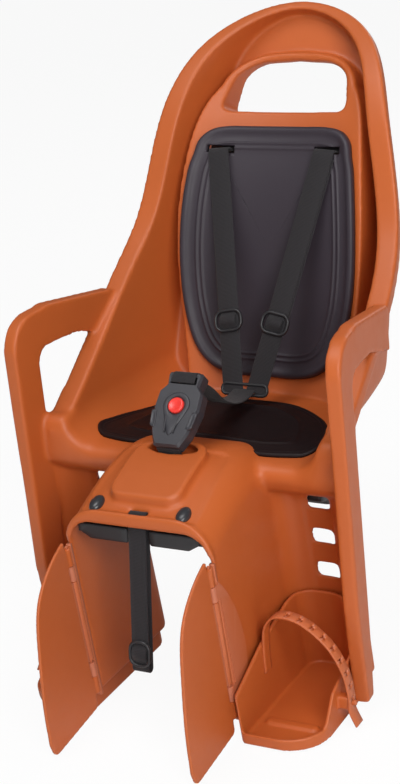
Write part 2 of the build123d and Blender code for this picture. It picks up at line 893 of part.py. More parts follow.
slider_share = 0.9
slider_y = bar_y + (strap_foot_y - bar_y) * slider_share
slider_z = bar_z + (strap_foot_z - bar_z) * slider_share
with BuildPart() as frame_strap_slider:
    with BuildSketch(Plane.YZ):
        with Locations(Location((slider_y, slider_z, 0), (0, 0, 90 - frame_strap_lean))):
            RectangleRounded(31, 2 * (bar_radius + web_thick) + 5, 3)
    extrude(amount=frame_strap_width / 2 + 3, both=True)
    add(frame_strap.part, mode=Mode.SUBTRACT)
frame_strap_slider.part.label = "frame_strap_slider"
export_step(frame_strap_slider.part, "parts/frame_strap_slider.step")

# footrest on the child's left, mirrored for the right
foot_top = -112


def foot_plan(inset, lift, height):
    """Footrest plan drawn up the leaning back wall."""
    rear = well_back(sole_z + lift) - fit - inset
    toe = toe_y + inset - lift * tilt
    with BuildPart() as body:
        with BuildSketch(Plane.XY.offset(sole_z + lift)) as plan:
            with BuildLine():
                Polyline(
                    (foot_inner + inset, toe),
                    (foot_inner + inset, rear),
                    (well_bend - 4 - 0.4 * inset, rear),
                    (foot_outer - inset, rear - well_sweep - 4),
                    (foot_outer - inset, toe),
                    close=True,
                )
            make_face()
            fillet(plan.vertices().group_by(Axis.Y)[-1].sort_by(Axis.X)[-1], 30 - inset)
            fillet(plan.vertices().group_by(Axis.Y)[-1].sort_by(Axis.X)[0], 22 - inset)
            fillet(plan.vertices().group_by(Axis.Y)[0].sort_by(Axis.X)[-1], 44 - inset)
            fillet(plan.vertices().group_by(Axis.Y)[0].sort_by(Axis.X)[0], 8 - inset)
        extrude(amount=height / rise_dir[2], dir=rise_dir)
    return body.part


with BuildPart() as foot_trim:
    with BuildSketch(Plane.YZ.offset(foot_inner - 10)):
        with BuildLine():
            Polyline((60, -115), (-20, -115), (-91, -132), (-220, -186), (-220, 0), (60, 0), close=True)
        make_face()
    extrude(amount=200)
    with BuildSketch(Plane.YZ.offset(foot_inner + foot_wall)):
        with BuildLine():
            Polyline(
                (60, -115),
                (0, -116),
                (-25, -148),
                (-95, -174),
                (-118, -203),
                (-220, -204),
                (-220, 0),
                (60, 0),
                close=True,
            )
        make_face()
    extrude(amount=200)

with BuildPart() as footrest_left:
    add(foot_plan(0, 0, foot_top - sole_z))
    add(foot_plan(foot_wall, sole_thick, foot_top - sole_z), mode=Mode.SUBTRACT)
    add(foot_trim.part, mode=Mode.SUBTRACT)
    with BuildSketch(Plane.XY.offset(sole_z + sole_thick)):
        with Locations((foot_inner + 42, toe_y + 42)):
            SlotOverall(60, 11)
    extrude(amount=3)
    with Locations(((foot_outer + foot_strap_out) / 2 - 1, foot_strap_y, stud_z)):
        Box(foot_strap_out - foot_outer, foot_strap_width - 2, foot_strap_width)
    with Locations(Location((foot_strap_out + 1.5, foot_strap_y, stud_z), (0, 90, 0))):
        Cylinder(stud_radius, 9)
footrest_left.part.label = "footrest_left"
export_step(footrest_left.part, "parts/footrest_left.step")
footrest_right = other_side(footrest_left.part)
footrest_right.label = "footrest_right"
export_step(footrest_right, "parts/footrest_right.step")

near = foot_inner + foot_wall + foot_strap_thick / 2
far = foot_strap_out
with BuildPart() as footrest_strap_left:
    with BuildSketch(Plane(origin=(0, foot_strap_y, 0), x_dir=(1, 0, 0), z_dir=(0, -1, 0))):
        with BuildLine():
            Spline(
                (near, foot_strap_low),
                (near, foot_strap_low + 26),
                (near + 3, foot_strap_top - 15),
                (near + 18, foot_strap_top),
                (near + 46, foot_strap_top - 4),
                (near + 74, foot_strap_top - 26),
                (far - 5, stud_z + 36),
                (far, stud_z + 8),
                (far, stud_z - 8),
                (far + 7, stud_z - 25),
            )
        trace(line_width=foot_strap_thick)
    extrude(amount=foot_strap_width / 2, both=True)
    add(footrest_left.part, mode=Mode.SUBTRACT)
footrest_strap_left.part.label = "footrest_strap_left"
export_step(footrest_strap_left.part, "parts/footrest_strap_left.step")
footrest_strap_right = other_side(footrest_strap_left.part)
footrest_strap_right.label = "footrest_strap_right"
export_step(footrest_strap_right, "parts/footrest_strap_right.step")

# spoke guard, its hinge leaf and pin on the child's left, mirrored for the right
hinge_run = math.hypot(hinge_foot_y - hinge_top_y, hinge_foot_z - hinge_top_z)
hinge_dir = (0, (hinge_foot_y - hinge_top_y) / hinge_run, (hinge_foot_z - hinge_top_z) / hinge_run)
guard_plane = Plane(origin=(guard_x, hinge_top_y, hinge_top_z), x_dir=hinge_dir, z_dir=(1, 0, 0))
axis_plane = Plane(origin=(guard_x, hinge_top_y, hinge_top_z), x_dir=(1, 0, 0), z_dir=hinge_dir)
knuckle_spans = [(2, 24), (hinge_run - 32, hinge_run - 10)]
leaf_spans = [(start + 22 + fit, start + 40) for start, end in knuckle_spans[:1]]
leaf_spans.append((hinge_run - 50, hinge_run - 32 - fit))

hinge_edge = knuckle_radius + 1.5
with BuildPart() as spoke_guard_left:
    with BuildSketch(guard_plane.offset(-guard_thick / 2)) as outline:
        with BuildLine():
            Spline((-8, -hinge_edge), (3, -36), (27, -66), (76, -84), (131, -95), (186, -100))
            Polyline((186, -100), (203, -96), (hinge_run + 6, -hinge_edge), (-8, -hinge_edge))
        make_face()
        fillet(outline.vertices().sort_by_distance((203, -96, 0))[0], 9)
        fillet(outline.vertices().sort_by_distance((hinge_run + 6, -hinge_edge, 0))[0], 6)
    extrude(amount=guard_thick)
    for start, end in knuckle_spans:
        with BuildSketch(axis_plane.offset(start)):
            Circle(knuckle_radius)
        extrude(amount=end - start)
        with BuildSketch(guard_plane.offset(-guard_thick / 2)):
            with Locations(((start + end) / 2, -knuckle_radius)):
                Rectangle(end - start, 2 * knuckle_radius)
        extrude(amount=guard_thick)
    with BuildSketch(axis_plane.offset(-10)):
        Circle(pin_radius + fit)
    extrude(amount=hinge_run + 20, mode=Mode.SUBTRACT)
spoke_guard_left.part.label = "spoke_guard_left"
export_step(spoke_guard_left.part, "parts/spoke_guard_left.step")
spoke_guard_right = other_side(spoke_guard_left.part)
spoke_guard_right.label = "spoke_guard_right"
export_step(spoke_guard_right, "parts/spoke_guard_right.step")

with BuildPart() as guard_leaf_left:
    with BuildSketch(guard_plane.offset(well_inner - guard_x)):
        with BuildLine():
            Spline((22, hinge_gap), (50, 24), (94, 38), (132, 40), (168, 24), (176, hinge_gap))
            Line((176, hinge_gap), (22, hinge_gap))
        make_face()
    extrude(amount=leaf_thick)
    for start, end in leaf_spans:
        with BuildSketch(axis_plane.offset(start)):
            Circle(knuckle_radius)
        extrude(amount=end - start)
        with BuildSketch(guard_plane.offset(well_inner - guard_x)):
            with Locations(((start + end) / 2, hinge_gap / 2 + 1)):
                Rectangle(end - start, hinge_gap + 2)
        extrude(amount=leaf_thick)
    with BuildSketch(axis_plane.offset(-10)):
        Circle(pin_radius)
    extrude(amount=hinge_run + 20, mode=Mode.SUBTRACT)
guard_leaf_left.part.label = "guard_leaf_left"
export_step(guard_leaf_left.part, "parts/guard_leaf_left.step")
guard_leaf_right = other_side(guard_leaf_left.part)
guard_leaf_right.label = "guard_leaf_right"
export_step(guard_leaf_right, "parts/guard_leaf_right.step")

with BuildPart() as hinge_pin_left:
    with BuildSketch(axis_plane):
        Circle(pin_radius)
    extrude(amount=hinge_run - 8)
hinge_pin_left.part.label = "hinge_pin_left"
export_step(hinge_pin_left.part, "parts/hinge_pin_left.step")
hinge_pin_right = other_side(hinge_pin_left.part)
hinge_pin_right.label = "hinge_pin_right"
export_step(hinge_pin_right, "parts/hinge_pin_right.step")

# carrier clamp
spindle_y = jaw_front_y + jaw_length / 2
with BuildPart() as clamp_jaw_left:
    with BuildSketch(Plane.XZ.offset(-jaw_front_y)):
        with BuildLine():
            Polyline(
                (rail_x, -rail_drop - rail_radius - 4),
                (rail_x + jaw_thick, -rail_drop - rail_radius + 2),
                (rail_x + jaw_thick, spindle_z + 9),
                (rail_x, spindle_z + 9),
                close=True,
            )
        make_face()
        with Locations((rail_x, -rail_drop)):
            Circle(rail_radius, mode=Mode.SUBTRACT)
    extrude(amount=-jaw_length)
    with Locations(Location((rail_x, spindle_y, spindle_z), (0, 90, 0))):
        Cylinder(spindle_radius + fit, 100, mode=Mode.SUBTRACT)
clamp_jaw_left.part.label = "clamp_jaw_left"
export_step(clamp_jaw_left.part, "parts/clamp_jaw_left.step")
clamp_jaw_right = other_side(clamp_jaw_left.part)
clamp_jaw_right.label = "clamp_jaw_right"
export_step(clamp_jaw_right, "parts/clamp_jaw_right.step")

spindle_plane = Plane(origin=(0, spindle_y, spindle_z), x_dir=(0, 1, 0), z_dir=(1, 0, 0))
with BuildPart() as clamp_spindle:
    with BuildSketch(spindle_plane.offset(-knob_x + 4)):
        Circle(spindle_radius)
    extrude(amount=2 * knob_x - 4)
    with BuildSketch(spindle_plane.offset(-knob_x)):
        Circle(spindle_radius + 3)
    extrude(amount=4)
clamp_spindle.part.label = "clamp_spindle"
export_step(clamp_spindle.part, "parts/clamp_spindle.step")

with BuildPart() as clamp_knob:
    with BuildSketch(spindle_plane.offset(knob_x)):
        Circle(knob_radius)
        with PolarLocations(knob_radius + 4, 8):
            Circle(7, mode=Mode.SUBTRACT)
    extrude(amount=knob_length)
clamp_knob.part.label = "clamp_knob"
export_step(clamp_knob.part, "parts/clamp_knob.step")

with BuildPart() as knob_indicator:
    with BuildSketch(spindle_plane.offset(knob_x + knob_length)):
        Circle(knob_radius - 8)
    extrude(amount=3)
knob_indicator.part.label = "knob_indicator"
export_step(knob_indicator.part, "parts/knob_indicator.step")
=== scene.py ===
# %% [markdown]
# # A child bike seat, dressed in Blender
#
# The seat is a bucket moulded in one piece, with soft pads, a webbing harness, footrests
# and spoke guards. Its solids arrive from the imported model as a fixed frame, so this lesson
# only adds what a camera would see: rounded mouldings, foam, woven straps and finishes.

# %% Load the frame
import json
import math

import bmesh
import bpy
from mathutils import Matrix, Vector
from mathutils.bvhtree import BVHTree

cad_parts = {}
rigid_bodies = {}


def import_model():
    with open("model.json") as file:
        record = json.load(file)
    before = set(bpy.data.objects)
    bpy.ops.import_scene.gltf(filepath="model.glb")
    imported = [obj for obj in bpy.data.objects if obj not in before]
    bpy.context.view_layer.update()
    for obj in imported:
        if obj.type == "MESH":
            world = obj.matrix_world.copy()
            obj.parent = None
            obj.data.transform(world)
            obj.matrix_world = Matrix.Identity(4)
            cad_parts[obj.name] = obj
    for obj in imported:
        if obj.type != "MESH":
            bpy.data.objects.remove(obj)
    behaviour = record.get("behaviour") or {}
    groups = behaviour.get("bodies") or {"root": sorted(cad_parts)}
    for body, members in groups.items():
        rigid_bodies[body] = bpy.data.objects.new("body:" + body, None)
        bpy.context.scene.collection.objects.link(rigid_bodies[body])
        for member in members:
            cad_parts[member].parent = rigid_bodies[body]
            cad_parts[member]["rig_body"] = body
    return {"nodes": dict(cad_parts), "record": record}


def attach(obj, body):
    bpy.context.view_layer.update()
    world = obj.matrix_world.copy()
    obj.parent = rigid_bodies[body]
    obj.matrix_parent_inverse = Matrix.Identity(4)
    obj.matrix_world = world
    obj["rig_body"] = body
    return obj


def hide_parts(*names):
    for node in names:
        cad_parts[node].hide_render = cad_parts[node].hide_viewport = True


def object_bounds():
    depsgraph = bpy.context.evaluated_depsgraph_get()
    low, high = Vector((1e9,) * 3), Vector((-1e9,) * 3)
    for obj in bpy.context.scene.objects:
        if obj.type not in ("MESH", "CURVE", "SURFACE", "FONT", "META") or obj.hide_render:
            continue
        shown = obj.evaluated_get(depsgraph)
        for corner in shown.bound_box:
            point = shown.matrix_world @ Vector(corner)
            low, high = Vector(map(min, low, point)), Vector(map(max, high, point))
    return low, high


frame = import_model()
nodes = frame["nodes"]
solid_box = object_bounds()
scene = bpy.context.scene
scene.view_settings.view_transform = "Standard"
MM = 0.001
print("nodes loaded:", len(nodes), "box:", [round(v, 3) for corner in solid_box for v in corner])

# %% [markdown]
# ## Camera
#
# The photograph looks down on the seat from its front left corner through a long lens.
# The camera's place and turn were solved from pairs of points that mirror each other
# across the seat, so they are written as a position and two directions.

# %% Camera
camera_place = Vector((0.8906, -1.5662, 0.7799))
looking = Vector((-0.4627, 0.8158, -0.3470)).normalized()
upward = Vector((-0.0797, 0.3516, 0.9328))
rightward = looking.cross(upward).normalized()
upward = rightward.cross(looking).normalized()
camera_data = bpy.data.cameras.new("camera")
camera_data.lens = 81.81
camera_data.sensor_width = 36
camera_data.clip_end = 200
camera = bpy.data.objects.new("camera", camera_data)
scene.collection.objects.link(camera)
camera_turn = Matrix((rightward, upward, -looking)).transposed().to_4x4()
camera.matrix_world = Matrix.Translation(camera_place) @ camera_turn
scene.camera = camera
print("camera height:", round(camera_place.z, 3))

# %% [markdown]
# ## Finishes
#
# Moulded plastic is never one flat colour: it has a fine spark-eroded grain, a little
# cloudiness, and edges lightened partly by wear and partly by a painted highlight. One recipe gives
# all the plastics, with a colour, a roughness and the size of the grain.


# %% Plastic recipe
def start_material(name):
    made = bpy.data.materials.new(name)
    made.use_nodes = True
    tree = made.node_tree
    shader = tree.nodes["Principled BSDF"]
    return made, tree, shader


def add_node(tree, kind, **settings):
    made = tree.nodes.new("ShaderNode" + kind)
    for key, value in settings.items():
        setattr(made, key, value)
    return made


def noise(tree, where, scale, detail):
    made = add_node(tree, "TexNoise")
    made.inputs["Scale"].default_value = scale
    made.inputs["Detail"].default_value = detail
    tree.links.new(where, made.inputs["Vector"])
    return made.outputs["Fac"]


def ramp(tree, source, low, high):
    made = add_node(tree, "MapRange")
    made.inputs["To Min"].default_value = low
    made.inputs["To Max"].default_value = high
    tree.links.new(source, made.inputs["Value"])
    return made.outputs["Result"]


def blend_colours(tree, share, first, second):
    made = add_node(tree, "Mix", data_type="RGBA")
    tree.links.new(share, made.inputs["Factor"])
    made.inputs["A"].default_value = (*first, 1)
    made.inputs["B"].default_value = (*second, 1)
    return made.outputs["Result"]


def plastic(name, colour, roughness, grain=900, depth=0.10, cloud=0.10, wear_and_highlight=0.0, shine=0.5):
    """Moulded plastic: cloudy colour, spark-eroded grain, edges lightened by wear and a painted highlight.
    """
    made, tree, shader = start_material(name)
    place = add_node(tree, "TexCoord").outputs["Object"]
    dark = [c * (1 - cloud) for c in colour]
    light = [min(1, c * (1 + cloud)) for c in colour]
    tone = blend_colours(tree, noise(tree, place, 9, 3), dark, light)
    # Convex edges, found by pointiness, are lightened: partly wear, partly a painted highlight where edges
    # would catch the light.
    if wear_and_highlight:
        edge = add_node(tree, "MapRange")
        edge.inputs["From Min"].default_value = 0.53
        edge.inputs["From Max"].default_value = 0.66
        edge.inputs["To Max"].default_value = wear_and_highlight
        tree.links.new(add_node(tree, "NewGeometry").outputs["Pointiness"], edge.inputs["Value"])
        lighter = add_node(tree, "Mix", data_type="RGBA")
        tree.links.new(edge.outputs["Result"], lighter.inputs["Factor"])
        tree.links.new(tone, lighter.inputs["A"])
        worn_and_highlit = [c + 0.45 * (1 - c) * max(colour) for c in colour]
        lighter.inputs["B"].default_value = (*worn_and_highlit, 1)
        tone = lighter.outputs["Result"]
    tree.links.new(tone, shader.inputs["Base Color"])
    shader.inputs["Specular IOR Level"].default_value = shine
    rough = ramp(tree, noise(tree, place, 60, 2), roughness - 0.06, roughness + 0.06)
    tree.links.new(rough, shader.inputs["Roughness"])
    bump = add_node(tree, "Bump")
    bump.inputs["Strength"].default_value = depth
    bump.inputs["Distance"].default_value = 0.0006
    tree.links.new(noise(tree, place, grain, 2), bump.inputs["Height"])
    tree.links.new(bump.outputs["Normal"], shader.inputs["Normal"])
    return made


# The fifth number after each colour lightens the edges, both as wear and as a painted highlight.
finishes = {
    "terracotta_plastic": plastic(
        "terracotta_plastic", (0.50, 0.108, 0.022), 0.47, 1100, 0.12, 0.06, 0.35, 0.42
    ),
    "back_foam": plastic("back_foam", (0.036, 0.028, 0.037), 0.50, 1500, 0.20, 0.08, 0.0, 0.4),
    "seat_foam": plastic("seat_foam", (0.0105, 0.0045, 0.0048), 0.52, 1500, 0.20, 0.10, 0.0, 0.22),
    "black_plastic": plastic("black_plastic", (0.018, 0.017, 0.019), 0.42, 1200, 0.12, 0.12, 0.25),
    "buckle_plastic": plastic("buckle_plastic", (0.036, 0.035, 0.042), 0.40, 1300, 0.16, 0.10, 0.35),
    "red_plastic": plastic("red_plastic", (0.84, 0.045, 0.034), 0.28, 700, 0.04, 0.05),
    "bolt_caps": plastic("bolt_caps", (0.030, 0.030, 0.034), 0.30, 900, 0.06, 0.10, 0.3),
}
print("plastics made:", len(finishes))

# %% [markdown]
# ## Webbing and steel
#
# Webbing is a flat weave. Its ribs run across the strap and its warp along it, so the
# strap meshes carry a length map in millimetres, and two fine waves on that map give the
# threads. Zinc-plated steel gets a faint drawn grain and an uneven shine.


# %% Webbing and steel recipes
def wave(tree, where, scale, direction):
    made = add_node(tree, "TexWave", wave_type="BANDS", bands_direction=direction)
    made.inputs["Scale"].default_value = scale
    made.inputs["Distortion"].default_value = 0.6
    made.inputs["Detail"].default_value = 1
    tree.links.new(where, made.inputs["Vector"])
    return made.outputs["Fac"]


def webbing(name, colour):
    """Woven strap: ribs across, warp along, threads that differ a little in tone."""
    made, tree, shader = start_material(name)
    place = add_node(tree, "UVMap").outputs["UV"]
    ribs = wave(tree, place, 0.21, "Y")
    warp = wave(tree, place, 0.34, "X")
    weave = add_node(tree, "Math", operation="MULTIPLY")
    tree.links.new(ribs, weave.inputs[0])
    tree.links.new(warp, weave.inputs[1])
    deep, bright = [c * 0.45 for c in colour], [c * 1.5 for c in colour]
    tone = blend_colours(tree, weave.outputs["Value"], deep, bright)
    tree.links.new(tone, shader.inputs["Base Color"])
    tree.links.new(ramp(tree, noise(tree, place, 0.3, 2), 0.62, 0.78), shader.inputs["Roughness"])
    shader.inputs["Sheen Weight"].default_value = 0.12
    shader.inputs["Specular IOR Level"].default_value = 0.3
    shader.inputs["Sheen Roughness"].default_value = 0.5
    bump = add_node(tree, "Bump")
    bump.inputs["Strength"].default_value = 0.5
    bump.inputs["Distance"].default_value = 0.0005
    tree.links.new(weave.outputs["Value"], bump.inputs["Height"])
    tree.links.new(bump.outputs["Normal"], shader.inputs["Normal"])
    return made


def plated_steel(name, colour):
    made, tree, shader = start_material(name)
    place = add_node(tree, "TexCoord").outputs["Object"]
    tone = blend_colours(tree, noise(tree, place, 40, 3), [c * 0.85 for c in colour], colour)
    tree.links.new(tone, shader.inputs["Base Color"])
    shader.inputs["Metallic"].default_value = 1
    tree.links.new(ramp(tree, noise(tree, place, 300, 2), 0.25, 0.42), shader.inputs["Roughness"])
    return made


finishes["webbing"] = webbing("webbing", (0.023, 0.020, 0.023))
finishes["steel"] = plated_steel("steel", (0.62, 0.62, 0.64))
slot_of = {part["node"]: part["material_slot"] for part in frame["record"]["subparts"]}
for name, solid in nodes.items():
    solid.data.materials.clear()
    solid.data.materials.append(finishes[slot_of[name]])
print("solids given a finish:", len(slot_of))

# %% [markdown]
# ## Rounded mouldings
#
# The solids have crisp edges, but a moulding tool rounds every one of them. A voxel remesh
# turns a solid into an even skin, a few smoothing passes roll its edges over, and a
# decimation brings the face count down. Where a place is reshaped, a second remesh evens it.


# %% Round the mouldings
def finish_piece(made, body, slot):
    """Puts a piece on its body, in its finish, with smooth shading."""
    made.data.materials.clear()
    made.data.materials.append(finishes[slot])
    made.data.shade_smooth()
    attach(made, body)
    return made


def baked(source, name):
    """The mesh of an object with its modifiers, as a new object."""
    graph = bpy.context.evaluated_depsgraph_get()
    mesh = bpy.data.meshes.new_from_object(source.evaluated_get(graph))
    mesh.name = name
    made = bpy.data.objects.new(name, mesh)
    scene.collection.objects.link(made)
    return made


def moulded(node, name, voxel, passes, most_faces, softer=None, fillings=(), reshape=None):
    """A rounded skin of one solid and its fillings, standing in for the solid."""
    joined = bmesh.new()
    joined.from_mesh(nodes[node].data)
    for filling in fillings:
        joined.from_mesh(filling.data)
        bpy.data.objects.remove(filling)
    draft = bpy.data.objects.new(name + "_draft", bpy.data.meshes.new(name + "_draft"))
    joined.to_mesh(draft.data)
    joined.free()
    scene.collection.objects.link(draft)
    remesh = draft.modifiers.new("skin", "REMESH")
    remesh.mode = "VOXEL"
    remesh.voxel_size = voxel * MM
    smooth = draft.modifiers.new("roll", "SMOOTH")
    smooth.factor = 0.5
    smooth.iterations = passes
    even = baked(draft, name + "_even")
    if reshape:
        for vertex in even.data.vertices:
            vertex.co = reshape(vertex.co / MM) * MM
        again = even.modifiers.new("skin", "REMESH")
        again.mode = "VOXEL"
        again.voxel_size = voxel * MM
        settle = even.modifiers.new("settle", "SMOOTH")
        settle.factor = 0.5
        settle.iterations = 4
        reshaped = baked(even, name + "_reshaped")
        bpy.data.objects.remove(even)
        even = reshaped
    if softer:
        group = even.vertex_groups.new(name="softer")
        group.add([v.index for v in even.data.vertices if softer(v.co / MM)], 1.0, "REPLACE")
        again = even.modifiers.new("softer", "SMOOTH")
        again.factor = 0.5
        again.iterations = 30
        again.vertex_group = "softer"
        smoothed = baked(even, name + "_softer")
        bpy.data.objects.remove(even)
        even = smoothed
    triangles = sum(len(p.vertices) - 2 for p in even.data.polygons)
    thin = even.modifiers.new("thin", "DECIMATE")
    thin.ratio = min(1, most_faces / triangles)
    made = baked(even, name)
    bpy.data.objects.remove(draft)
    bpy.data.objects.remove(even)
    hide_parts(node)
    finish_piece(made, nodes[node]["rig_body"], slot_of[node])
    print(name, "triangles:", len(made.data.polygons))
    return made


print("moulding helpers ready")

# %% [markdown]
# ## Rings for the pads
#
# A moulded foam pad is a closed form with a soft edge and lines pressed into its face. It
# could be remeshed and sculpted, but rings that follow the outline put every pressed line
# exactly where it belongs. Each ring has an inset from the outline and a height.


# %% Rings from an outline
def evenly(points, count, closed=True):
    """The same line with evenly spaced points."""
    line = points + points[:1] if closed else points
    runs = [(b - a).length for a, b in zip(line, line[1:])]
    steps = count if closed else count - 1
    made, index, walked = [], 0, 0.0
    for k in range(count):
        goal = sum(runs) * k / steps
        while index < len(runs) - 1 and walked + runs[index] < goal:
            walked += runs[index]
            index += 1
        made.append(line[index].lerp(line[index + 1], (goal - walked) / max(runs[index], 1e-9)))
    return made


def curve_through(points, count, closed=False):
    """Evenly spaced points on a soft curve through the given ones."""
    size = len(points)
    fine = []
    for i in range(size if closed else size - 1):
        near_spots = [i + k if closed else min(max(i + k, 0), size - 1) for k in (-1, 0, 1, 2)]
        a, b, c, d = (points[k % size] for k in near_spots)
        for k in range(12):
            t = k / 12
            square_part = (2 * a - 5 * b + 4 * c - d) * t**2
            cube_part = (3 * b - a - 3 * c + d) * t**3
            fine.append(0.5 * (2 * b + (c - a) * t + square_part + cube_part))
    if not closed:
        fine.append(points[-1])
    return evenly(fine, count, closed)


def rounded_outline(corners, count):
    """Closed outline with corners given as x, y and radius, anticlockwise."""
    points = []
    for i, (x, y, radius) in enumerate(corners):
        here = Vector((x, y))
        back = (Vector(corners[i - 1][:2]) - here).normalized()
        onward = (Vector(corners[(i + 1) % len(corners)][:2]) - here).normalized()
        half = back.angle(onward) / 2
        centre = here + (back + onward).normalized() * radius / math.sin(half)
        first = here + back * radius / math.tan(half) - centre
        last = here + onward * radius / math.tan(half) - centre
        start = math.atan2(first.y, first.x)
        sweep = (math.atan2(last.y, last.x) - start + math.pi) % math.tau - math.pi
        for k in range(13):
            turn = start + sweep * k / 12
            points.append(centre + radius * Vector((math.cos(turn), math.sin(turn))))
    return evenly(points, count)


def inward_of(outline):
    """Unit directions to the inside of an anticlockwise outline."""
    size = len(outline)
    steps = [outline[(k + 1) % size] - outline[k - 1] for k in range(size)]
    return [Vector((-step.y, step.x)).normalized() for step in steps]


def mesh_of_rows(name, rows, first_cap=None, last_cap=None):
    """A skin over closed rows of points in millimetres, with a middle point as each cap."""
    build = bmesh.new()
    grid = [[build.verts.new(point * MM) for point in row] for row in rows]
    size = len(rows[0])
    for low, high in zip(grid, grid[1:]):
        for k in range(size):
            build.faces.new((low[k], low[(k + 1) % size], high[(k + 1) % size], high[k]))
    for cap, row in ((first_cap, grid[0]), (last_cap, grid[-1])):
        if cap is not None:
            middle = build.verts.new(cap * MM)
            for k in range(size):
                build.faces.new((row[k], row[(k + 1) % size], middle))
    bmesh.ops.recalc_face_normals(build, faces=build.faces)
    mesh = bpy.data.meshes.new(name)
    build.to_mesh(mesh)
    build.free()
    made = bpy.data.objects.new(name, mesh)
    scene.collection.objects.link(made)
    return made


def end_middles(rows):
    """The middle points of the first and last rows, to cap them."""
    return [sum(row, Vector()) / len(row) for row in (rows[0], rows[-1])]


def mirrored_outline(half):
    """Points of half an outline from the middle line outward, with its mirror image added."""
    return [Vector(p) for p in half] + [Vector((-x, y)) for x, y in reversed(half[1:-1])]


def round_turns(count):
    """Angles of evenly spaced points round a circle."""
    return [math.tau * k / count for k in range(count)]


def ringed(name, outline, profile, core, place, back_height):
    """A closed form: flat back, edge and pressed lines by inset, then a core that shrinks."""
    inward = inward_of(outline)
    middle = sum(outline, Vector((0, 0))) / len(outline)
    rows = []
    for share in (0.3, 0.6, 0.9):
        rows.append([place(middle + (p - middle) * share, back_height) for p in outline])
    for inset, height in profile:
        rows.append([place(p + n * inset, height) for p, n in zip(outline, inward)])
    rim = [p + n * profile[-1][0] for p, n in zip(outline, inward)]
    for share, height in core:
        rows.append([place(middle + (p - middle) * share, height) for p in rim])
    return mesh_of_rows(name, rows, place(middle, back_height), place(middle, core[-1][1]))


print("ring helpers ready")

# %% [markdown]
# ## The shell
#
# On a moulding the pan rolls over into the leg wells in one sweep, and the walls run into it
# with wide fillets. The solid shell has these places as plain walls, so fillings close the
# corners by the armrests, narrow the buckle's pocket, rim the grip and back the thin lip of
# the crown before the skin is made.

# %% Shell
LEAN = math.radians(22)
back_foot = Vector((0, 158, 69))
back_up = Vector((0, math.sin(LEAN), math.cos(LEAN)))
back_out = Vector((0, -math.cos(LEAN), math.sin(LEAN)))
ACROSS = Vector((1, 0, 0))


def tree_of(node):
    mesh = nodes[node].data
    places = [v.co.copy() for v in mesh.vertices]
    return BVHTree.FromPolygons(places, [tuple(p.vertices) for p in mesh.polygons])


shell_tree = tree_of("seat_shell")


def shell_top(x, y, start=140):
    """Height of the shell straight below a point at the start height."""
    hit = shell_tree.ray_cast(Vector((x, y, start)) * MM, Vector((0, 0, -1)))[0]
    return hit.z / MM if hit else 0


SWEEP_Y, SWEEP_Z = -18, 40
CHANNEL_DEPTH = 2.2
ROLL_STOPS = (84, 100, 112, 118, 122, 126, 130, 134, 138, 142, 146, 150, 155, 164, 172, 179)


def sweep_shape(x):
    """Front, top and squareness of the pan's sweep at a distance from the middle."""
    share = min(max((x - 122) / 33, 0), 1)
    share = share * share * (3 - 2 * share)
    return -38.4 - 3.4 * share, shell_top(min(x, 172), SWEEP_Y) - 1, 2.2 + 2 * share


def roll_filling(side):
    """Fills the corner between the pan's roll and the wing, out to the armrest."""
    rows = []
    for x in ROLL_STOPS:
        front, top, square = sweep_shape(x)
        line = [(y, shell_top(min(x, 172), y) - 1) for y in (8, -4, -12)]
        for k in range(11):
            turn = math.pi / 2 * k / 10
            over = math.sin(turn) ** (2 / square)
            down = max(math.cos(turn), 0) ** (2 / square)
            line.append((SWEEP_Y + (front - SWEEP_Y) * over, SWEEP_Z + (top - SWEEP_Z) * down))
        line += [(front + 2, 31), (-32, 23), (-23, 17.5), (-12, 14), (0, 12), (5, 20), (8, 40)]
        rows.append([Vector((side * x, y, z)) for y, z in line])
    return mesh_of_rows("roll_filling", rows, *end_middles(rows))


sweeps = {x: sweep_shape(x) for x in range(90, 172)}


def moulded_form(point):
    """Sinks the channel of the slots, and draws the wing's lip back into the sweep."""
    x = abs(point.x)
    from_wall = point.y + 0.3 + 0.1405 * point.z
    if 113 < x < 148 and -200 < point.z < 9.5 and -3 < from_wall < 9:
        return point + Vector((0, CHANNEL_DEPTH, 0))
    if not (92 < x < 168 and -60 < point.y < SWEEP_Y and SWEEP_Z < point.z < 92):
        return point
    front, top, square = sweeps[round(x)]
    forward, upward = point.y - SWEEP_Y, point.z - SWEEP_Z
    over, down = forward / (front - SWEEP_Y), upward / (top - SWEEP_Z)
    reach = (over**square + down**square) ** (1 / square)
    if reach < 1:
        return point
    return Vector((point.x, SWEEP_Y + forward / reach, SWEEP_Z + upward / reach))


def pocket_filling():
    """Brings the front edge of the pocket up to the buckle's foot."""
    rows = []
    for k in range(33):
        turn = math.radians(165 + 210 * k / 32)
        outer = Vector((33.5 * math.cos(turn), -72 + 22 * math.sin(turn)))
        inner = Vector((29.5 * math.cos(turn), -64.5 + 11.5 * math.sin(turn)))
        row = []
        for share in (0, 0.25, 0.5, 0.75, 1):
            spot = outer.lerp(inner, share)
            level = shell_top(38 if spot.y < -66 else 33, spot.y)
            row.append(Vector((spot.x, spot.y, level - 0.1)))
        row += [Vector((inner.x, inner.y, 58)), Vector((outer.x, outer.y, 58))]
        rows.append(row)
    return mesh_of_rows("pocket_filling", rows, *end_middles(rows))


half_grip = [(79, 322, 12), (78, 334, 8), (74, 346, 3), (67, 356, -2.5), (56, 365, -9)]
half_grip += [(40, 371.5, -13.5), (20, 374.5, -16)]
grip_edge = half_grip + [(0, 375.5, -17)] + [(-x, up, out) for x, up, out in reversed(half_grip)]


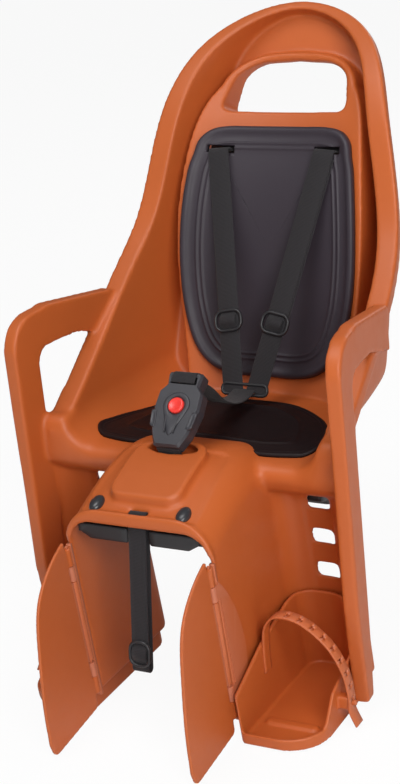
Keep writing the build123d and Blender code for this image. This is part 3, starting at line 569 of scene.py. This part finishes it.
def grip_rim():
    """A rim round the top of the grip opening, standing on the back panel."""
    rows = []
    path = curve_through([Vector(spot) for spot in grip_edge], 80)
    for k, spot in enumerate(path):
        run = path[min(k + 1, 79)] - path[max(k - 1, 0)]
        outward = Vector((run.y, -run.x, 0)).normalized()
        row = []
        top = spot.z
        for wide, height in ((0, -29), (0, top - 2), (1.5, top), (6.5, top), (9, top - 2.5), (9.5, -29)):
            at = spot + outward * wide
            row.append(back_foot + ACROSS * at.x + back_up * at.y + back_out * height)
        rows.append(row)
    return mesh_of_rows("grip_rim", rows, *end_middles(rows))


def crown_filling():
    """Backs the lip of the rim over the crown, where the solid's lip runs thin."""
    rows = []
    for x in range(-96, 97, 6):
        scan = [(y / 2, shell_top(x, y / 2, 600)) for y in range(540, 720)]
        first = max(range(len(scan)), key=lambda k: scan[k][1])
        last = first
        while scan[last + 1][1] > scan[last][1] - 4:
            last += 1
        spots = [scan[round(first + (last - first) * k / 6)] for k in range(7)]
        outside = [Vector((x, y, z - 0.1)) for y, z in spots]
        inside = [Vector((x, y, z - 4.6)) for y, z in reversed(spots)]
        rows.append(outside + inside)
    return mesh_of_rows("crown_filling", rows, *end_middles(rows))


def softer_place(point):
    """The sweep at the front of the pan."""
    return 76 < abs(point.x) < 168 and -62 < point.y < 4 and 8 < point.z < 88


fillings = [roll_filling(1), roll_filling(-1), pocket_filling(), grip_rim(), crown_filling()]
moulded("seat_shell", "moulded_shell", 1.9, 4, 190000, softer_place, fillings, moulded_form)
for side in ("left", "right"):
    moulded("footrest_" + side, "moulded_footrest_" + side, 1.4, 3, 50000)
    moulded("spoke_guard_" + side, "moulded_guard_" + side, 1.2, 2, 30000)

# %% [markdown]
# ## Backrest pad
#
# The pad is one piece of moulded foam, hollowed to fit a back. Its edge is a thick bead,
# then comes a flat band, and two fine lines frame the panel. The face follows the hollow of
# the solid pad, which is read from the solid itself, and two slots let the straps through.

# %% Backrest pad
hollow_radius = 366.1
pad_tree = tree_of("backrest_pad")
levels = range(8, 286, 6)
face_depth = []
for level in levels:
    start = back_foot + back_up * level + back_out * 200
    hit = pad_tree.ray_cast(start * MM, -back_out)[0]
    face_depth.append(200 - (hit / MM - start).length)


def pad_depth(level):
    """Distance of the pad's middle line in front of the back plane."""
    step = min(max((level - levels[0]) / 6, 0), len(face_depth) - 1.001)
    low = int(step)
    return face_depth[low] + (face_depth[low + 1] - face_depth[low]) * (step - low)


def on_back(point, height):
    hollow = hollow_radius - math.sqrt(hollow_radius**2 - point.x**2)
    out = pad_depth(point.y) + hollow + height
    return back_foot + ACROSS * point.x + back_up * point.y + back_out * out


half_back = [(0, 4), (40, 4), (70, 13), (92, 38), (105, 80), (110, 130), (109, 185), (104, 235)]
half_back += [(99, 256), (94.5, 273), (82, 285.5), (62, 290.5), (30, 291.3), (0, 291.5)]
back_outline = curve_through(mirrored_outline(half_back), 300, closed=True)
bead = [(0, -9.6), (0, -6), (0.2, -3.2), (1.2, -1.2), (3, 0.2), (5, 0.7), (7, 0.4), (8.6, -0.6), (10, -1.5)]
band = [(14, -1.7), (17, -1.5), (18.6, -1.2), (19.4, -0.2), (20.2, 0.1), (21.0, -0.2), (21.8, -1.1)]
lines = [(23.6, -1.1), (24.6, -0.9), (25.4, 0.0), (26.2, 0.3), (27.0, 0.0), (27.8, -0.8), (29.5, -1.1)]
panel = [(0.94, -1.0), (0.85, -0.6), (0.7, -0.2), (0.5, 0.2), (0.25, 0.4), (0.08, 0.4)]
back_pad_draft = ringed("back_pad_draft", back_outline, bead + band + lines, panel, on_back, -9.6)
slot_cut = bpy.data.objects.new("slot_cut", bpy.data.meshes.new("slot_cut"))
scene.collection.objects.link(slot_cut)
cutter = bmesh.new()
for side in (-1, 1):
    middle = back_foot + ACROSS * side * 67 + back_up * 263 + back_out * 20
    turn = Matrix((ACROSS, back_up, back_out)).transposed().to_4x4()
    size = Matrix.Diagonal((34 * MM, 9 * MM, 80 * MM, 1))
    bmesh.ops.create_cube(cutter, size=1, matrix=Matrix.Translation(middle * MM) @ turn @ size)
cutter.to_mesh(slot_cut.data)
cutter.free()
cut = back_pad_draft.modifiers.new("slots", "BOOLEAN")
cut.object = slot_cut
cut.solver = "EXACT"
cut.use_self = True
back_pad = baked(back_pad_draft, "back_pad")
bpy.data.objects.remove(back_pad_draft)
bpy.data.objects.remove(slot_cut)
finish_piece(back_pad, "seat", "back_foam")
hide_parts("backrest_pad")
print("back pad faces:", len(back_pad.data.polygons))

# %% [markdown]
# ## Seat pad
#
# The seat pad is a lens of the same foam that lies in the pan behind the hump. It is thin
# at its edge, with two pressed lines near the rim and a ridge round the middle. Its
# underside follows the pan, measured downward on the solid shell.


# %% Seat pad
def on_pan(point, height):
    hit = shell_tree.ray_cast(Vector((point.x, point.y, 110)) * MM, Vector((0, 0, -1)))[0]
    level = min(hit.z / MM, 60) if hit else 52
    if abs(point.x) < 100:
        level = min(level, 53)
    return Vector((point.x, point.y, level + height))


half_pan = [(0, 129), (54, 124), (100, 94), (123, 60), (134, 28), (137, 8), (128, -6), (108, -13)]
half_pan += [(80, -17), (50, -15), (0, -10)]
seat_outline = list(reversed(curve_through(mirrored_outline(half_pan), 260, closed=True)))
rim = [(0, 0.4), (0, 2.0), (0.5, 3.2), (1.6, 4.2), (3.2, 4.8), (4.6, 4.5), (5.4, 4.0)]
rim += [(6.4, 4.6), (8.0, 5.2), (9.0, 4.9), (10, 5.0)]
crown = [(0.93, 6.0), (0.86, 6.9), (0.815, 7.3), (0.80, 8.3), (0.785, 8.5), (0.77, 7.9)]
crown += [(0.6, 8.1), (0.35, 8.3), (0.1, 8.3)]
seat_pad = ringed("seat_pad_foam", seat_outline, rim, crown, on_pan, 0.4)
finish_piece(seat_pad, "seat", "seat_foam")
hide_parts("seat_pad")
print("seat pad faces:", len(seat_pad.data.polygons))

# %% [markdown]
# ## Shoulder straps
#
# Webbing is a flat woven band, so each strap is a thin closed section carried along a soft
# line. The map on it counts millimetres across and along, which the weave needs. Each strap
# comes out of its slot level, then turns to the line of its run.


# %% Webbing ribbons
web_section = [(-0.5, -0.2), (-0.5, 0.2), (-0.47, 0.5), (-0.2, 0.46), (0.2, 0.46)]
web_section += [(0.47, 0.5), (0.5, 0.2), (0.5, -0.2), (0.47, -0.5), (-0.47, -0.5)]


def ribbon(name, path, across, width, thick, closed=False):
    """A flat band along a path in millimetres; across gives its side direction by share."""
    size = len(path)
    rows, along, walked = [], [], 0.0
    for k, point in enumerate(path):
        ahead = path[(k + 1) % size] if closed or k < size - 1 else point
        behind = path[k - 1] if closed or k else point
        run = (ahead - behind).normalized()
        side = across(k / size)
        side = (side - run * side.dot(run)).normalized()
        face = side.cross(run)
        rows.append([point + side * a * width + face * b * thick for a, b in web_section])
        along.append(walked)
        walked += (path[(k + 1) % size] - point).length if closed or k < size - 1 else 0
    build = bmesh.new()
    chart = build.loops.layers.uv.new("length_map")
    grid = [[build.verts.new(p * MM) for p in row] for row in rows]
    count = len(web_section)
    for k in range(size if closed else size - 1):
        after = (k + 1) % size
        far = along[after] if after else walked
        for j in range(count):
            i = (j + 1) % count
            made = build.faces.new((grid[k][j], grid[k][i], grid[after][i], grid[after][j]))
            for loop, (c, d) in zip(made.loops, ((j, along[k]), (i, along[k]), (i, far), (j, far))):
                loop[chart].uv = (web_section[c][0] * width, d)
    if not closed:
        build.faces.new(grid[0])
        build.faces.new(reversed(grid[-1]))
    bmesh.ops.recalc_face_normals(build, faces=build.faces)
    mesh = bpy.data.meshes.new(name)
    build.to_mesh(mesh)
    build.free()
    made = bpy.data.objects.new(name, mesh)
    scene.collection.objects.link(made)
    return made


strap_top = back_foot + back_up * 263 + back_out * 33.4
strap_join = Vector((0, 106, 72))
strap_run = strap_join - strap_top
strap_face = Vector((0, strap_run.z, -strap_run.y)).normalized()


def strap_spot(side, share, out):
    """A point on a shoulder strap, by share of its run, raised off the run."""
    return strap_top + strap_run * share + ACROSS * side * (67 - 53 * share) + strap_face * out


def strap_across(side):
    skew = (ACROSS * strap_run.length + strap_run.normalized() * side * 53).normalized()
    return lambda share: ACROSS.lerp(skew, min(1, share * 6))


front_stops = [(0.02, 1.6), (0.1, 1.2), (0.35, 0.4), (0.6, 0.6), (0.68, 0.6)]
front_stops += [(0.75, 0.6), (0.85, 0.8), (0.97, 0.8), (1.0, 0.8)]
under_stops = [(0.03, -1.0), (0.2, -1.2), (0.5, -1.4), (0.69, -1.2)]
for side, word in ((1, "left"), (-1, "right")):
    behind = strap_top + ACROSS * side * 67
    points = [behind - back_out * deep for deep in (26, 12, 1.5)]
    points += [strap_spot(side, share, out) for share, out in front_stops]
    turned = strap_across(side)
    web = ribbon("shoulder_web_" + word, curve_through(points, 150), turned, 25, 1.5)
    finish_piece(web, "seat", "webbing")
    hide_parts("shoulder_strap_" + word)
    under = [strap_spot(side, share, out) + ACROSS * side * 1.5 for share, out in under_stops]
    under_web = ribbon("shoulder_web_back_" + word, curve_through(under, 80), turned, 25, 1.5)
    finish_piece(under_web, "seat", "webbing")
print("shoulder straps made, run", round(strap_run.length, 1), "mm")

# %% [markdown]
# ## Adjusters and the slider
#
# A web adjuster is an oval ring with a bar across it, and the web rolls over the bar and
# shows in the window. The ring is a round rod swept along a rounded outline, and the roll
# is a short ribbon bent over the bar.


# %% Adjusters and slider
def rod_ring(name, centre, along_x, along_y, corners, rod):
    """A ring of round rod that follows a flat rounded outline."""
    outline = rounded_outline(corners, 72)
    face = along_x.cross(along_y)
    rows = []
    for p, n in zip(outline, inward_of(outline)):
        middle = centre + along_x * p.x + along_y * p.y
        to_inside = along_x * n.x + along_y * n.y
        row = []
        for t in round_turns(12):
            row.append(middle + rod * (to_inside * math.cos(t) * 0.85 + face * math.sin(t)))
        rows.append(row)
    return mesh_of_rows(name, rows + rows[:1])


def web_glide(name, centre, along_x, along_y, half_x, half_y, rod, web_width, node):
    """An adjuster: ring and rolled web, standing for a solid adjuster."""
    corner = min(half_x, half_y) * 0.8
    signs = ((-1, -1), (1, -1), (1, 1), (-1, 1))
    corners = [(half_x * a, half_y * b, corner) for a, b in signs]
    ring = rod_ring(name + "_ring", centre, along_x, along_y, corners, rod)
    finish_piece(ring, "seat", "black_plastic")
    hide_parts(node)
    face = along_x.cross(along_y)
    shape = [(0.95, -2.5), (0.6, -0.2), (0.3, 2.2), (0, 3.0), (-0.3, 2.2), (-0.6, -0.2), (-0.95, -2.5)]
    points = [centre + along_y * half_y * y + face * out for y, out in shape]
    roll = ribbon(name + "_roll", curve_through(points, 40), lambda share: along_x, web_width, 1.6)
    finish_piece(roll, "seat", "webbing")


for side, word in ((1, "left"), (-1, "right")):
    along_x = strap_across(side)(1).normalized()
    along_y = along_x.cross(strap_face).normalized()
    along_y = along_y if along_y.z > 0 else -along_y
    spot = strap_spot(side, 0.71, 2.6)
    web_glide("adjuster_" + word, spot, along_x, along_y, 16, 11.5, 2.3, 19, "strap_adjuster_" + word)
print("adjusters made: 2")

# %% [markdown]
# ## Harness link and buckle webs
#
# Low in the seat the two shoulder straps meet in a flat bar, and one web goes on from it to
# the buckle. It hangs a little slack, goes through the window at the top of the buckle and
# folds over its bar. Below, a short web holds the buckle's foot to the hump.

# %% Harness link and buckle webs
TIP = math.radians(46)
buckle_foot = Vector((0, -76, 78))
buckle_up = Vector((0, math.sin(TIP), math.cos(TIP)))
buckle_out = Vector((0, -math.cos(TIP), math.sin(TIP)))
window = buckle_foot + buckle_up * 76
straight_across = lambda share: ACROSS
slack = [window - buckle_out * 3 - buckle_up * 2, window + buckle_up * 6 - buckle_out * 11]
slack += [Vector((0, y, z)) for y, z in ((8, 116), (34, 92), (62, 78), (88, 74), (108, 76))]
buckle_web = ribbon("buckle_web_band", curve_through(slack, 90), straight_across, 28, 1.6)
finish_piece(buckle_web, "seat", "webbing")
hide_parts("buckle_web")
fold_stops = ((10.4, -3.4), (10.6, 3), (9, 8.6), (0, 11.6), (-9, 9))
fold = [window + buckle_out * out + buckle_up * up for out, up in fold_stops]
fold_web = ribbon("buckle_web_fold", curve_through(fold, 40), straight_across, 28, 1.6)
finish_piece(fold_web, "seat", "webbing")
short = [buckle_foot + buckle_up * 8, buckle_foot]
short += [Vector((0, y, z)) for y, z in ((-73, 72), (-70, 58), (-70, 40))]
foot_web = ribbon("crotch_web", curve_through(short, 40), straight_across, 28, 1.6)
finish_piece(foot_web, "seat", "webbing")
stop_outline = rounded_outline([(-20, -4, 3), (20, -4, 3), (20, 4, 3), (-20, 4, 3)], 60)
stop = ringed(
    "crotch_web_stop",
    stop_outline,
    [(0, -3.5), (0, 3.0), (0.6, 4.0)],
    [(0.8, 4.6), (0.4, 4.8)],
    lambda p, height: buckle_foot + buckle_up * (p.y - 74) + ACROSS * p.x + buckle_out * height,
    -4.5,
)
finish_piece(stop, "seat", "webbing")
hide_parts("crotch_strap")
link_y = strap_run.normalized()
link = rod_ring(
    "harness_link_bar",
    strap_spot(0, 0.985, 1.0),
    ACROSS,
    -link_y,
    [(-28, -6, 5), (28, -6, 5), (28, 6, 5), (-28, 6, 5)],
    2.2,
)
finish_piece(link, "seat", "black_plastic")
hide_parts("harness_link")
print("webs at the buckle made: 4")

# %% [markdown]
# ## Buckle
#
# The buckle's two halves keep their solid form with softened edges. On the front there is a
# raised arch round the release button, two fine ribs that run to the foot, and finger
# grips at the sides. The button is a shallow dome with a dish for the finger.


# %% Buckle
def on_buckle(point, height):
    return buckle_foot + ACROSS * point.x + buckle_up * point.y + buckle_out * (9 + height)


arch_outline = []
for k in range(120):
    turn = math.tau * k / 120
    x, y = math.cos(turn), math.sin(turn)
    taper = 15.5 if y > 0 else 15.5 - 8.5 * min(1, -y * 1.1)
    arch_outline.append(Vector((taper * x, 46 + (15.5 if y > 0 else 34) * y)))
button_centre = Vector((0, 46))
arch_rows = []
arch_profile = [(0, -0.4), (0, 0.6), (0.06, 1.2), (0.15, 1.5), (0.4, 1.6)]
arch_profile += [(0.7, 1.5), (0.93, 1.5), (1.0, 0.9), (1.0, -3)]
rim_points = [button_centre + 9.9 * (p - button_centre).normalized() for p in arch_outline]
for share, height in arch_profile:
    arch_rows.append([on_buckle(p.lerp(q, share), height) for p, q in zip(arch_outline, rim_points)])
finish_piece(mesh_of_rows("buckle_arch", arch_rows), "seat", "buckle_plastic")
for side, word in ((1, "left"), (-1, "right")):
    rib = [Vector((side * 8.0, 34)), Vector((side * 6.4, 24)), Vector((side * 5.0, 15))]
    rib_path = [on_buckle(p, 1.6) for p in curve_through(rib, 16)]
    rib_bar = ribbon("buckle_rib_" + word, rib_path, straight_across, 1.3, 1.2)
    finish_piece(rib_bar, "seat", "buckle_plastic")
    grip = rounded_outline([(18, 18, 2), (25, 22, 2), (27.4, 40, 2), (21, 40, 2)], 60)
    grip = grip if side > 0 else [Vector((-p.x, p.y)) for p in reversed(grip)]
    side_edge, dish = [(0, -3), (0, 0.5), (0.5, 1.0)], [(0.75, 1.1), (0.5, 0.6), (0.2, 0.6)]
    pad = ringed("buckle_grip_" + word, grip, side_edge, dish, on_buckle, -4)
    finish_piece(pad, "seat", "buckle_plastic")

dome = [(9, -5.2), (9, 0.2), (8.9, 2.2), (8.4, 3.0), (7.4, 3.4), (6.4, 3.3)]
dome += [(5.2, 2.9), (3.2, 2.6), (1.2, 2.5)]
dome_rows = []
for radius, height in dome:
    circle = [button_centre + radius * Vector((math.cos(t), math.sin(t))) for t in round_turns(64)]
    dome_rows.append([on_buckle(p, height) for p in circle])
dome_ends = [on_buckle(button_centre, height) for height in (-5.2, 2.5)]
button = mesh_of_rows("release_button", dome_rows, *dome_ends)
finish_piece(button, "buckle_release", "red_plastic")
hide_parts("buckle_button")
print("buckle details made: 6")

# %% [markdown]
# ## Bolt caps
#
# Two bolts go through the hump into the base, and each head is covered by an oval dome.
# The domes stand square on the sloping hump, so their direction is read from the shell.

# %% Bolt caps
cap_profile = [(1.0, -3), (1.0, 0.6), (0.97, 2.0), (0.88, 3.4), (0.7, 4.7), (0.45, 5.5), (0.2, 5.8)]
for side, word in ((1, "left"), (-1, "right")):
    above = Vector((side * 51 + 4, -146, 110)) * MM
    spot, facing = shell_tree.ray_cast(above, Vector((0, 0, -1)))[:2]
    spot = Vector((side * 51, -146, spot.z / MM))
    facing = Vector((0, facing.y, facing.z)).normalized()
    length = facing.cross(ACROSS).normalized()
    rows = []
    for share, height in cap_profile:
        row = []
        for t in round_turns(48):
            oval = ACROSS * 7.5 * math.cos(t) + length * 11.5 * math.sin(t)
            row.append(spot + facing * height + share * oval)
        rows.append(row)
    cap = mesh_of_rows("bolt_cap_" + word, rows, spot - facing * 3, spot + facing * 5.9)
    finish_piece(cap, "seat", "bolt_caps")
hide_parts("front_bolts")

# %% [markdown]
# ## Frame strap
#
# A loop of ribbed webbing hangs from the bar at the front of the base, to go round the bike
# frame. It is one closed ribbon round two ends, and its slider holds the two runs together.

# %% Frame strap
hang = math.radians(9.5)
strap_down = Vector((0, -math.sin(hang), -math.cos(hang)))
strap_side = Vector((0, -math.cos(hang), math.sin(hang)))
bar = Vector((0, -149.6, 33.5))
loop_length, loop_radius = 163.5, 4.2
loop_points = []
for end, first in ((Vector((0, 0, 0)), math.pi), (strap_down * loop_length, 0.0)):
    for k in range(9):
        turn = first + math.pi * k / 8 - math.pi / 2
        around = strap_down * math.cos(turn) + strap_side * math.sin(turn)
        loop_points.append(bar + end + loop_radius * around)
loop_line = evenly(loop_points, 220)
frame_loop = ribbon("frame_strap_web", loop_line, straight_across, 20, 1.6, closed=True)
finish_piece(frame_loop, "seat", "webbing")
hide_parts("frame_strap")
slider_spot = bar + strap_down * 147.5 + strap_side * 5.5
slider_size = (11.5, 13, 2.2, 17)
web_glide("frame_strap_slider", slider_spot, ACROSS, -strap_down, *slider_size, "frame_strap_slider")
print("frame strap loop:", round(2 * loop_length + math.tau * loop_radius), "mm")

# %% [markdown]
# ## Footrest straps
#
# Each footrest has a moulded strap over the foot with a row of three-lobed holes, so it can
# be set on its stud. The band follows the solid strap's line, and the holes are cut through
# it where the strap is seen.

# %% Footrest straps
stud_z = -188
near, far, strap_y = 97, 192, -82
strap_line = [(near, -166), (near, -140), (near + 3, -112), (near + 18, -97)]
strap_line += [(near + 46, -101), (near + 74, -123)]
strap_line += [(far - 5, stud_z + 36), (far, stud_z + 8), (far, stud_z - 8), (far + 7, stud_z - 25)]
along_foot = Vector((0, 1, 0))
hole_outline = []
for turn in round_turns(36):
    reach = 2.3 + 1.2 * math.cos(3 * turn)
    hole_outline.append((reach * math.cos(turn), reach * math.sin(turn)))
for side, word in ((1, "left"), (-1, "right")):
    path = curve_through([Vector((side * x, strap_y, z)) for x, z in strap_line], 160)
    band = ribbon("foot_band_" + word, path, lambda share: along_foot, 16, 2.2)
    holes = bmesh.new()
    for k in range(9):
        at = 58 + 10 * k
        run = (path[at + 1] - path[at - 1]).normalized()
        face = run.cross(along_foot)
        ends = []
        for out in (-4, 4):
            lobes = [path[at] + run * x + along_foot * y + face * out for x, y in hole_outline]
            ends.append([holes.verts.new(spot * MM) for spot in lobes])
        holes.faces.new(ends[0])
        holes.faces.new(reversed(ends[1]))
        for j in range(36):
            i = (j + 1) % 36
            holes.faces.new((ends[0][j], ends[1][j], ends[1][i], ends[0][i]))
    bmesh.ops.recalc_face_normals(holes, faces=holes.faces)
    hole_mesh = bpy.data.meshes.new("holes")
    holes.to_mesh(hole_mesh)
    holes.free()
    hole_block = bpy.data.objects.new("holes", hole_mesh)
    scene.collection.objects.link(hole_block)
    cut = band.modifiers.new("holes", "BOOLEAN")
    cut.object = hole_block
    cut.solver = "EXACT"
    strap = baked(band, "foot_strap_" + word)
    bpy.data.objects.remove(band)
    bpy.data.objects.remove(hole_block)
    finish_piece(strap, word + "_footrest", "terracotta_plastic")
    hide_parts("footrest_strap_" + word)
print("footrest straps made: 2, holes in each: 9")

# %% [markdown]
# ## Hinge barrels
#
# A spoke guard turns on a long barrel with its pin inside. The solids have the knuckles at
# both ends, and between them the guard's barrel is a tube round the pin, joined to the guard
# by a flat web. A narrow edge strip on the well's wall closes the joint, and stays with the
# seat when the guard folds.

# %% Hinge barrels
hinge_top = Vector((84, -165, -5))
hinge_foot = Vector((84, -142, -201))
hinge_down = (hinge_foot - hinge_top).normalized()
hinge_run = (hinge_foot - hinge_top).length
to_wall = Vector((0, hinge_down.z, -hinge_down.y))
to_wall = to_wall if to_wall.y > 0 else -to_wall


def hinge_spot(side, reach, out, across):
    """A point by its reach down the hinge line, towards the wall and across, on one side."""
    spot = hinge_top + hinge_down * reach + to_wall * out + ACROSS * across
    return Matrix.Diagonal((side, 1, 1)) @ spot


def hinge_bar(name, side, reaches, section, cap, body):
    """A straight bar along the hinge line, with one section at each reach."""
    rows = [[hinge_spot(side, reach, out, across) for out, across in section] for reach in reaches]
    ends = [hinge_spot(side, reach, *cap) for reach in (reaches[0], reaches[-1])]
    finish_piece(mesh_of_rows(name, rows, *ends), body, "terracotta_plastic")


barrel_end = hinge_run - 53
barrel_profile = [(43, 2.6), (43.4, 3.6), (44.2, 4.0)]
barrel_profile += [(barrel_end - 1.2, 4.0), (barrel_end - 0.4, 3.6), (barrel_end, 2.6)]
web_reaches = (43.6, 44.4, hinge_run / 2, barrel_end - 1.4, barrel_end - 0.6)
web_shape = [(-9.5, -1.6), (-2, -1.6), (-2, 1.6), (-9.5, 1.6)]
edge_reaches = (1, 2, 60, 120, hinge_run - 4, hinge_run - 3)
edge_shape = [(4.5, -1.4), (5.2, -1.8), (8.5, -1.8), (8.5, 3.6), (5.2, 3.6), (4.5, 3.0)]
for side, word in ((1, "left"), (-1, "right")):
    rows = []
    for reach, radius in barrel_profile:
        circle = [(radius * math.sin(t), radius * math.cos(t)) for t in round_turns(20)]
        rows.append([hinge_spot(side, reach, out, across) for out, across in circle])
    ends = [hinge_spot(side, reach, 0, 0) for reach in (43, barrel_end)]
    barrel = mesh_of_rows("hinge_barrel_" + word, rows, *ends)
    finish_piece(barrel, word + "_guard", "terracotta_plastic")
    hinge_bar("hinge_web_" + word, side, web_reaches, web_shape, (-6, 0), word + "_guard")
    hinge_bar("hinge_edge_" + word, side, edge_reaches, edge_shape, (6.5, 1), "seat")
print("hinge barrels made: 2, run", round(hinge_run, 1), "mm")

# %% [markdown]
# ## Clamp knob
#
# The knob that closes the clamp shows through the top slot of a leg well. It is a star
# knob, whose lobes give the fingers a hold, so its outline is a circle with six waves,
# rounded over at both faces.

# %% Clamp knob
knob_centre = Vector((0, 40, 8))
knob_profile = [(100, 4), (100.6, 1.6), (102.5, 0.3), (105, 0), (124, 0)]
knob_profile += [(127.5, 0.4), (129.4, 1.8), (130, 4.5), (130, 9)]
knob_rows = []
for reach, inset in knob_profile:
    row = []
    for turn in round_turns(120):
        radius = 27 + 2.6 * math.cos(6 * (turn + math.pi / 2)) - inset
        row.append(knob_centre + Vector((reach, radius * math.cos(turn), radius * math.sin(turn))))
    knob_rows.append(row)
knob_ends = [knob_centre + ACROSS * reach for reach in (100, 130)]
star_knob = mesh_of_rows("star_knob", knob_rows, *knob_ends)
finish_piece(star_knob, "knob", "black_plastic")
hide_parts("clamp_knob")
print("star knob faces:", len(star_knob.data.polygons))

# %% [markdown]
# ## Base skirt
#
# Under the hump's mouth the front of the carrier base shows as a dark lip on each side of
# the strap. It hides the two bosses that the bolts go into, so it is a thin plate before
# them, rounded off at its outer end.

# %% Base skirt
for side, word in ((1, "left"), (-1, "right")):
    corners = [(13, 3.6, 2), (58, 3.6, 5), (72, 12, 5), (72, 20, 2), (13, 20, 2)]
    outline = [Vector((side * p.x, p.y)) for p in rounded_outline(corners, 90)]
    outline = outline if side > 0 else list(reversed(outline))
    place = lambda p, height: Vector((p.x, -154.2 - height, p.y))
    edge, face = [(0, -1.2), (0, 0.6), (0.6, 1.2)], [(0.7, 1.2), (0.3, 1.2)]
    lip = ringed("base_skirt_" + word, outline, edge, face, place, -1.2)
    finish_piece(lip, "seat", "black_plastic")
print("base skirt plates made: 2")

# %% [markdown]
# ## Softened hard parts
#
# The clamp parts and the buckle halves have the right form already. A bevelled copy of each
# stands in for its solid, and takes off the sharpness that no moulding or casting has. The
# solids themselves stay as they are.

# %% Softened hard parts
hard_parts = ["buckle_back", "buckle_front", "carrier_base"]
hard_parts += ["clamp_jaw_left", "clamp_jaw_right", "knob_indicator"]
for name in hard_parts:
    draft = bpy.data.objects.new(name + "_draft", nodes[name].data.copy())
    scene.collection.objects.link(draft)
    soft = draft.modifiers.new("soft_edge", "BEVEL")
    soft.width = 0.0007
    soft.segments = 2
    soft.limit_method = "ANGLE"
    soft.angle_limit = math.radians(40)
    piece = baked(draft, "soft_" + name)
    bpy.data.objects.remove(draft)
    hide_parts(name)
    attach(piece, nodes[name]["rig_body"])
    print("softened", name)

# %% [markdown]
# ## Studio
#
# A product photograph has a white ground and soft light with no hard shadow. A wide lamp
# on the camera's side does most of the work, weaker ones fill from the far side, behind and
# above, and the ground glows for the camera only, so that it stays white under the seat.


# %% Studio
def soft_lamp(name, place, size, power):
    data = bpy.data.lights.new(name, "AREA")
    data.shape = "DISK"
    data.size = size
    data.energy = power
    lamp = bpy.data.objects.new(name, data)
    scene.collection.objects.link(lamp)
    lamp.location = place
    aim = Vector((0, 0, 0.1)) - Vector(place)
    lamp.rotation_euler = aim.to_track_quat("-Z", "Y").to_euler()
    return lamp


soft_lamp("key_lamp", (2.0, -2.1, 1.5), 1.9, 76)
soft_lamp("fill_lamp", (-1.6, -2.2, 1.6), 1.8, 4)
soft_lamp("back_lamp", (0.4, 2.6, 1.5), 1.8, 22)
soft_lamp("top_lamp", (-0.2, -0.8, 2.6), 1.6, 36)

world = bpy.data.worlds.new("studio")
scene.world = world
world.use_nodes = True
tree = world.node_tree
ray = add_node(tree, "LightPath")
sky = tree.nodes["Background"]
seen = add_node(tree, "Math", operation="MAXIMUM")
tree.links.new(ray.outputs["Is Camera Ray"], seen.inputs[0])
tree.links.new(ray.outputs["Is Transmission Ray"], seen.inputs[1])
tree.links.new(ramp(tree, seen.outputs["Value"], 0.11, 1.0), sky.inputs["Strength"])
sky.inputs["Color"].default_value = (1, 1, 1, 1)

floor_mesh = bpy.data.meshes.new("floor")
reach = 30
floor_z = solid_box[0].z - 0.002
floor_corners = [(x * reach, y * reach, floor_z) for x, y in ((-1, -1), (1, -1), (1, 1), (-1, 1))]
floor_mesh.from_pydata(floor_corners, [], [(0, 1, 2, 3)])
floor = bpy.data.objects.new("floor", floor_mesh)
scene.collection.objects.link(floor)
ground, tree, shader = start_material("ground")
shader.inputs["Base Color"].default_value = (0.9, 0.9, 0.9, 1)
shader.inputs["Roughness"].default_value = 0.9
lit = add_node(tree, "Emission")
mixed = add_node(tree, "MixShader")
ray = add_node(tree, "LightPath")
tree.links.new(ramp(tree, ray.outputs["Is Camera Ray"], 0.0, 0.93), mixed.inputs[0])
tree.links.new(shader.outputs[0], mixed.inputs[1])
tree.links.new(lit.outputs[0], mixed.inputs[2])
tree.links.new(mixed.outputs[0], tree.nodes["Material Output"].inputs["Surface"])
floor_mesh.materials.append(ground)
print("floor at", round(floor_z, 3))
